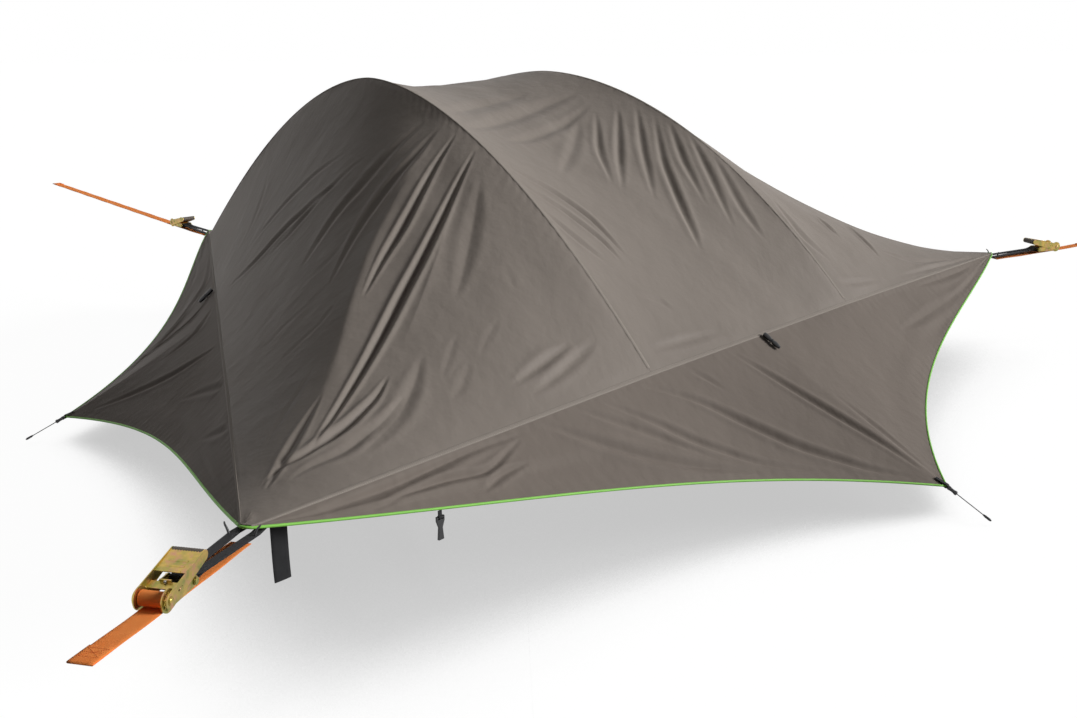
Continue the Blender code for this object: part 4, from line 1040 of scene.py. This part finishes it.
for corner in tent["heading"]:
    place = ratchet_place(corner)
    dressed("ratchet_frame_" + corner, yellow_zinc, "tent", "yellow_zinc", 0.0005)
    dressed("ratchet_handle_" + corner, yellow_zinc, "handle_" + corner, "yellow_zinc", 0.0005)
    dressed("ratchet_spool_" + corner, yellow_zinc, "spool_" + corner, "yellow_zinc", 0.0003)
    for pawl in ("drive_pawl_" + corner, "lock_pawl_" + corner):
        dressed(pawl, yellow_zinc, pawl, "yellow_zinc", 0.0004)
    sideways = Matrix.Rotation(-math.pi / 2, 4, "X")
    folded = place @ Matrix.Rotation(handle_rest, 4, "Y")
    bar = folded @ Matrix.Translation((-handle_length, -handle_inner + 0.0008, 0)) @ sideways
    lathe("handle_grip_" + corner, grip, bar, grip_look, "handle_" + corner, "black_plastic")
    for hand, mark in ((-1, "a"), (1, "b")):
        facing = sideways @ Matrix.Rotation(0 if hand > 0 else math.pi, 4, "X")
        face = place @ Matrix.Translation((0, hand * wheel_outer, 0)) @ facing
        lathe(f"shaft_cap_{corner}_{mark}", cap, face, yellow_zinc, "spool_" + corner, "yellow_zinc", 24)
        tail = place @ Matrix.Translation((-anchor_distance, hand * (frame_outer + 0.0037), 0)) @ facing
        lathe(f"bolt_cap_{corner}_{mark}", head, tail, yellow_zinc, "tent", "yellow_zinc", 24)
    for label, tilt in (("drive", handle_rest), ("lock", lock_tilt)):
        tilted = place @ Matrix.Rotation(tilt, 4, "Y")
        coil = []
        for share in (k / spring_steps for k in range(spring_steps + 1)):
            a = math.tau * spring_turns * share
            y, z = spring_radius * math.cos(a), spring_height + spring_radius * math.sin(a)
            coil.append(tilted @ Vector((-spring_start - spring_length * share, y, z)))
        spring = curved(f"{label}_spring_{corner}", coil, spring_wire, spring_steel, 2)
        fastened(spring, f"{label}_pawl_{corner}", "yellow_zinc")
    for k, reach in enumerate(rib_reaches):
        rises = [(y, rib_rise * (1 - abs(y))) for y in (-0.02, -0.012, 0, 0.012, 0.02)]
        route = [folded @ Vector((-reach - 0.0002, y, z)) for y, z in rises]
        across = folded.to_3x3() @ Vector((1, 0, 0))
        pressed = {"body": "handle_" + corner, "cup": -0.0006}
        band(f"handle_rib_{corner}_{k}", route, across, 0.006, 0.002, yellow_zinc, "yellow_zinc", **pressed)


# Tree straps. Orange webbing 50 mm wide comes from the tree, goes under the spool's turns and ends in a free tail
# under the slings. Its doubled tree end is sewn. The turns on the spool are one wound length.
strap_reach = {"left": 0.22, "right": 0.22, "rear": 1.54}
strap_width = 0.05
strap_thickness = 0.002
strap_level = -0.018225
strap_rise = 0.016925 * 0.15
strap_sag = 0.0006
strap_end = -0.33
spool_edge = -0.0255
wound_radius = 0.014
strap_steps = 60


def wound(corner):
    """UV of the turns on a spool: along the strap by the angle about the spool, and across it."""
    inverse = ratchet_place(corner).inverted()

    def mapped(point, middle):
        local, centre = inverse @ point, inverse @ middle
        first = math.atan2(centre.z, centre.x)
        angle = first + (math.atan2(local.z, local.x) - first + math.pi) % math.tau - math.pi
        return (angle * wound_radius, local.y)

    return mapped


for corner, reach in strap_reach.items():
    place = ratchet_place(corner)
    across, up = (place.to_3x3() @ Vector(way) for way in ((0, 1, 0), (0, 0, 1)))
    dressed("strap_winding_" + corner, orange_webbing, "spool_" + corner, "orange_webbing", 0.0003, wound(corner))
    route = []
    for x in (reach + (strap_end - reach) * k / strap_steps for k in range(strap_steps + 1)):
        share = (x - spool_edge) / (strap_end - spool_edge)
        if share > 0:
            level = strap_level + strap_rise * share + 0.0012 * math.sin(9 * share) * share
        else:
            level = strap_level - strap_sag * (1 + math.sin(31 * x)) * min(1, (reach - x) / 0.05)
        route.append(place @ Vector((x, 0, level)))
    kind = (across, strap_width, strap_thickness, orange_webbing, "orange_webbing")
    band("tree_strap_woven_" + corner, route, *kind, "tree_strap_" + corner)
    fold = [(-0.06, 0.00205), (-0.05, 0.0021), (-0.02, 0.00215), (-0.003, 0.0022)]
    fold += [(0.0004, 0.0017), (0.0012, 0.0004), (0.0004, -0.0003)]
    route = [place @ Vector((reach + x, 0, strap_level + z)) for x, z in fold]
    band("strap_fold_" + corner, route, *kind)
    ends = {}
    for x in (-0.052, -0.036, -0.02):
        ends[x] = [place @ Vector((reach + x, y, strap_level + 0.00325)) for y in (-0.021, 0.021)]
    rows = [(*pair, up) for pair in ends.values()]
    rows += [(ends[-0.052][0], ends[-0.02][1], up), (ends[-0.052][1], ends[-0.02][0], up)]
    stitch_rows("strap_stitches_" + corner, rows, thread_orange, "tent", "orange_webbing", 0.0035)


# Poles. Two arches of bent aluminium tube, each of five sections joined by ferrules, in plastic sockets that are
# sewn to the webs at the sides.
pole_look, tree, shader = new_material("pole_look")
place = node(tree, "TexCoord").outputs["Object"]
cloud = stretched_noise(tree, place, (9.0, 9.0, 160.0))
tree.links.new(mixed(tree, cloud, (0.34, 0.35, 0.36, 1), (0.46, 0.47, 0.48, 1)), shader.inputs["Base Color"])
tree.links.new(ranged(tree, cloud, 0, 1, 0.22, 0.42), shader.inputs["Roughness"])
tree.links.new(bumped(tree, noise_value(tree, place, 1500.0), 0.15, 0.0001), shader.inputs["Normal"])
shader.inputs["Metallic"].default_value = 1
for side in ("left", "right"):
    dressed("pole_" + side, pole_look, "tent", "pole_aluminium", 0)
    for end in ("front", "rear"):
        dressed(f"pole_socket_{end}_{side}", black_plastic, "tent", "black_plastic", 0.0006)


# Inner tent. One skin of black net under the poles, held down to the webs along the sides, with plain cloth round its
# lower edge. Plastic clips on short webbing tapes hang it from the poles, and a zip runs down its left side.
inner_radius = tent["corner"] - 0.09
inner_base = 0.0023
inner_rise = 0.8317
net_mesh = 0.003
skirt_height = 0.07
clip_ring, clip_wall, clip_half_length = 0.0066, 0.0011, 0.004
tape_width, tape_thickness = 0.012, 0.0012
zip_tape_width, zip_teeth_width = 0.028, 0.006
zip_along = 0.6
zip_stations = 40


def inner_ridge(along, hand):
    return ridge_line(along, hand, inner_radius, inner_base, inner_rise)


def inner_shape(along, across):
    """The net by shares along the arches and across them, in thirds: a side, the middle and the other side."""
    left_ridge, right_ridge = inner_ridge(along, -1), inner_ridge(along, 1)
    third = across[..., None] * 3
    between = np.clip(third - 1, 0, 1)
    points = left_ridge + (right_ridge - left_ridge) * between
    bowed = ridge_sag(along) * (4 * between * (1 - between))[..., 0]
    points[..., 2] = inner_base + (points[..., 2] - inner_base) * (1 - bowed)
    for hand, reach, ridge in ((-1, third, left_ridge), (1, 3 - third, right_ridge)):
        reach = np.clip(reach, 0.02, 1)
        corner = corner_point(front_corner(hand), inner_radius, inner_base)
        level = ridge.copy()
        level[..., 2] = inner_base
        cone = corner + (level - corner) * reach
        cone[..., 2:] += (ridge[..., 2:] - inner_base) * reach**cone_power
        points = np.where(reach < 1, cone, points)
    return points


net_look, tree, shader = new_material("net_look")
coordinates = node(tree, "TexCoord").outputs
parts = node(tree, "SeparateXYZ", {0: coordinates["UV"]}).outputs
cells = []
for axis in (0, 1):
    waves = maths(tree, "COSINE", maths(tree, "MULTIPLY", parts[axis], math.tau / net_mesh))
    cells.append(maths(tree, "GREATER_THAN", waves, 0.45))
threads = maths(tree, "MAXIMUM", *cells)
height = node(tree, "SeparateXYZ", {0: coordinates["Object"]}).outputs[2]
skirt = maths(tree, "LESS_THAN", height, skirt_height)
tree.links.new(ranged(tree, maths(tree, "MAXIMUM", threads, skirt), 0, 1, 0.12, 1.0), shader.inputs["Alpha"])
tree.links.new(mixed(tree, skirt, (0.02, 0.02, 0.022, 1), (0.06, 0.06, 0.062, 1)), shader.inputs["Base Color"])
tree.links.new(bumped(tree, threads, 0.3, 0.0002), shader.inputs["Normal"])
shader.inputs["Roughness"].default_value = 0.8
net_waves = [(4, 2.5, 0.1, 0.003), (9, -4.0, 0.4, 0.0015)]
net = cloth_panel("inner_net", inner_shape, 130, 150, [], net_waves, net_look, (3.4, 4.2))
fastened(net, "tent", "mesh_cloth", "inner_tent")
clip_look = plastic_look("pole_clip_look", (0.014, 0.014, 0.015))
turns = np.linspace(0, math.tau, 13)
hoop = [(clip_ring + clip_wall * math.cos(a), clip_half_length * math.sin(a)) for a in turns]
for hand, side in ((-1, "left"), (1, "right")):
    pole = np.array([vert.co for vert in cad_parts["pole_" + side].data.vertices])
    for station in range(4, 25, 4):
        share = station / 26
        ring = pole[np.linalg.norm(pole - ridge_line(share, hand), axis=-1) < 0.02]
        if len(ring) < 6:
            continue
        centre, foot = Vector(ring.mean(0)), Vector(inner_ridge(share, hand))
        run = Vector(ridge_line(share + 0.01, hand) - ridge_line(share - 0.01, hand)).normalized()
        down = (foot - centre).normalized()
        beside = run.cross(down).normalized()
        turn = Matrix((beside, run.cross(beside).normalized(), run)).transposed().to_4x4()
        place = Matrix.Translation(centre) @ turn
        lathe(f"pole_clip_{side}_{station}", hoop, place, clip_look, "tent", "black_plastic", 28)
        start = centre + down * (clip_ring + 0.001)
        route = [start.lerp(foot, k / 6) for k in range(7)]
        kind = (run, tape_width, tape_thickness, black_webbing, "black_webbing")
        band(f"clip_tape_{side}_{station}", route, *kind)
across = np.linspace(0.06, 0.3, zip_stations)
route = inner_shape(np.full(zip_stations, zip_along), across)
ahead = inner_shape(np.full(zip_stations, zip_along + 0.01), across)
tape_side = Vector((ahead - route).mean(0)).normalized()
outward = upward(np.cross(np.gradient(route, axis=0), np.array(tape_side)))
band("door_zip_tape", route + outward * 0.0045, tape_side, zip_tape_width, 0.001, black_webbing, "black_webbing")
band("door_zip_teeth", route + outward * 0.0056, tape_side, zip_teeth_width, 0.0018, clip_look, "black_plastic")


# Floor. Three panels of tight dark coated cloth, sewn between the webs. The hatch in their middle has a three-cornered
# flap, sewn on along its front edge.
colours = {"Colour": (0.035, 0.036, 0.038), "Shade": (0.022, 0.023, 0.025), "Ripple": 0.004}
floor_look = effect_look("floor_cloth_look", coated_cloth, colours, {"Specular IOR Level": 0.15})
floor_outer = tent["half"] - 0.0523
floor_inner = 0.1853
floor_shift = 0.0506
flap_half_width = 0.2758
flap_front, flap_length = -0.1593, 0.475


def floor_shape(side):
    def place(along, across):
        reach = floor_outer + (floor_inner - floor_outer) * across
        half = reach * math.sqrt(3) - floor_shift
        points = np.stack([(2 * along - 1) * half, -reach, 0 * across], -1)
        return turned(points, tent["turn"][side])

    return place


def flap_shape(along, across):
    """The hatch: its sewn front edge at across 0, narrowing to its tip at 1."""
    half = flap_half_width * (1 - 0.985 * across)
    return np.stack([(2 * along - 1) * half, flap_front + flap_length * across, 0 * across], -1)


floor_waves = [(7, 3.0, 0.2, 0.0008), (15, -5.0, 0.6, 0.0004)]
for side in sides:
    shape, size = floor_shape(side), (3.8, 0.95)
    panel = cloth_panel("floor_" + side, shape, 150, 50, [], floor_waves, floor_look, size, hold=0.05)
    fastened(panel, "tent", "floor_cloth", "floor_panel_" + side)
flap_waves = [(3, 2, 0.3, 0.0006)]
flap = cloth_panel("hatch_cloth", flap_shape, 40, 40, [], flap_waves, floor_look, (0.55, 0.48), hold=0.02)
fastened(flap, "hatch", "floor_cloth", "hatch_flap")


# Toggles. A waisted black plastic toggle lies on the seam near the middle of each side. Two loops of elastic cord,
# sewn into the seam, hold it at its waist.
toggle_share = {"front": 0.5, "right": 0.6, "left": 0.4}
toggle_radius = 0.0085
toggle_length = 0.075
loop_steps, loop_shift, loop_height, elastic_radius = 16, 0.0014, 0.0068, 0.0011
colours = {"Colour": (0.05, 0.05, 0.055), "Shade": (0.012, 0.012, 0.013), "Pitch": 0.003}
elastic_look = effect_look("elastic_braid", crossed_braid, colours, {"Roughness": 0.75})
profile = [(0, 0), (0.55, 0.0), (0.8, 0.012), (0.97, 0.05), (1, 0.12), (1, 0.3), (0.93, 0.37), (0.68, 0.46), (0.6, 0.5)]
profile += [(0.68, 0.55), (0.93, 0.64), (1, 0.7), (0.95, 0.8), (0.75, 0.93), (0.6, 0.985), (0.4, 1.0), (0, 1.0)]
profile = [(radius * toggle_radius, height * toggle_length) for radius, height in profile]
for side in sides:
    surface = wing_shape(side, 0.07)
    share = np.full((1,), toggle_share[side])
    seam = Vector(surface(share, np.zeros(1))[0])
    down = (Vector(surface(share, np.full(1, 1 / 6))[0]) - seam).normalized()
    up = (Vector((0, 0, 1)) - down * down.z).normalized()
    beside = up.cross(down)
    start = seam + up * (toggle_radius + elastic_radius) + down * toggle_radius
    place = Matrix.Translation(start) @ Matrix((beside, up, down)).transposed().to_4x4()
    lathe("toggle_turned_" + side, profile, place, black_plastic, "tent", "black_plastic", 32, "toggle_" + side)
    for shift, mark in ((-loop_shift, "a"), (loop_shift, "b")):
        middle = start + down * (toggle_length / 2 + shift)
        route = []
        for a in (math.pi * k / loop_steps for k in range(loop_steps + 1)):
            spread = 0.0082 + 0.004 * abs(math.cos(a)) ** 3
            height = max(loop_height * math.sin(a), 0) - (toggle_radius + 0.0009) * abs(math.cos(a)) ** 4
            route.append(middle + beside * math.cos(a) * spread + up * height)
        fastened(curved(f"toggle_loop_{side}_{mark}", route, elastic_radius, elastic_look), "tent", "black_plastic")


# Hanging strip and clip. A short end of black webbing hangs by the left corner, sewn under the web. A black clip
# hangs in a webbing tab on the edge of the front wing.
strip_place = Vector((-1.945, -tent["half"] + 0.025, -0.0018))
strip_length, strip_width = 0.15, 0.045
route = []
for share in (k / 24 for k in range(25)):
    sway = 0.003 * math.sin(2.6 * share) * share
    route.append(strip_place + Vector((0.0015 * share * share, sway, -strip_length * share)))
kind = ((1, 0, 0), strip_width, 0.0025, black_webbing, "black_webbing")
strip = band("hanging_strip_woven", route, *kind, "hanging_strip", cup=0.0008)
tacks = []
for drop in (0.004, 0.012):
    spots = [strip_place + Vector((x, -0.0022, -drop)) for x in (-0.02, 0.02)]
    tacks.append((*spots, (0, -1, 0)))
stitch_rows("strip_tacks", tacks, thread_black, "tent", "black_webbing")
dressed("edge_tab", black_webbing, "tent", "black_webbing", 0.0003, lambda point, middle: (point.z, point.x))
dressed("edge_clip", black_plastic, "clip", "black_plastic", 0.0009)


# Guy fittings. A turned line tightener slides on each cord, an end piece closes it, and a folded tab of webbing
# strengthens the wing's tip.
adjuster_length, adjuster_radius, adjuster_bore = 0.034, 0.007, 0.0018
ending_length, ending_radius = 0.03, 0.004
tab_width, tab_thickness, tab_bend = 0.014, 0.0014, 0.0054
bore = adjuster_bore / adjuster_radius
adjuster = [(0.7, 0), (0.9, 0.04), (1, 0.12), (0.96, 0.2), (0.8, 0.32), (0.75, 0.5), (0.8, 0.68), (0.96, 0.8)]
adjuster += [(1, 0.88), (0.9, 0.96), (0.7, 1), (bore, 1), (bore, 0), (0.7, 0)]
adjuster = [(radius * adjuster_radius, height * adjuster_length) for radius, height in adjuster]
ending = [(0, 0), (0.5, 0), (0.62, 0.03), (0.95, 0.26), (1, 0.34), (0.96, 0.4), (1, 0.46), (0.96, 0.52), (1, 0.58)]
ending += [(0.96, 0.64), (1, 0.78), (0.7, 0.93), (0.4, 1), (0, 1)]
ending = [(radius * ending_radius, height * ending_length) for radius, height in ending]
for side in sides:
    cord, start = guy_pieces[side]
    run = side_turn(side).to_3x3() @ guy_run
    turn = run.to_track_quat("Z", "Y").to_matrix().to_4x4()
    place = Matrix.Translation(start) @ turn
    name, solid = "line_tightener_" + side, "guy_adjuster_" + side
    lathe(name, adjuster, place, black_plastic, "adjuster_" + side, "black_plastic", 32, solid)
    place = Matrix.Translation(Vector(start) + run * (guy_length + 0.0003)) @ turn
    lathe("line_end_" + side, ending, place, black_plastic, "tent", "black_plastic", 24, "guy_end_" + side)
    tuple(start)
    centre = wing_shape(side, panel_trim)(np.full(9, 0.5), np.linspace(0.95, 1, 9))
    slope = Vector(centre[-1] - centre[0]).normalized()
    across = side_turn(side).to_3x3() @ Vector((1, 0, 0))
    up = across.cross(slope).normalized()
    up = up if up.z > 0 else -up
    rises = [0.0022 + 0.0032 * (k / 8) ** 2 for k in range(9)]
    upper = [Vector(point) + up * rise for point, rise in zip(centre, rises)]
    tip = Vector(centre[-1]) + slope * edge_gap
    arc = [tip + (up * math.cos(a) + slope * math.sin(a)) * tab_bend for a in np.linspace(0.25, math.pi - 0.25, 7)]
    lower = [Vector(point) - up * rise for point, rise in zip(centre, rises)][::-1]
    band("tip_tab_" + side, upper + arc + lower, across, tab_width, tab_thickness, black_webbing, "black_webbing")
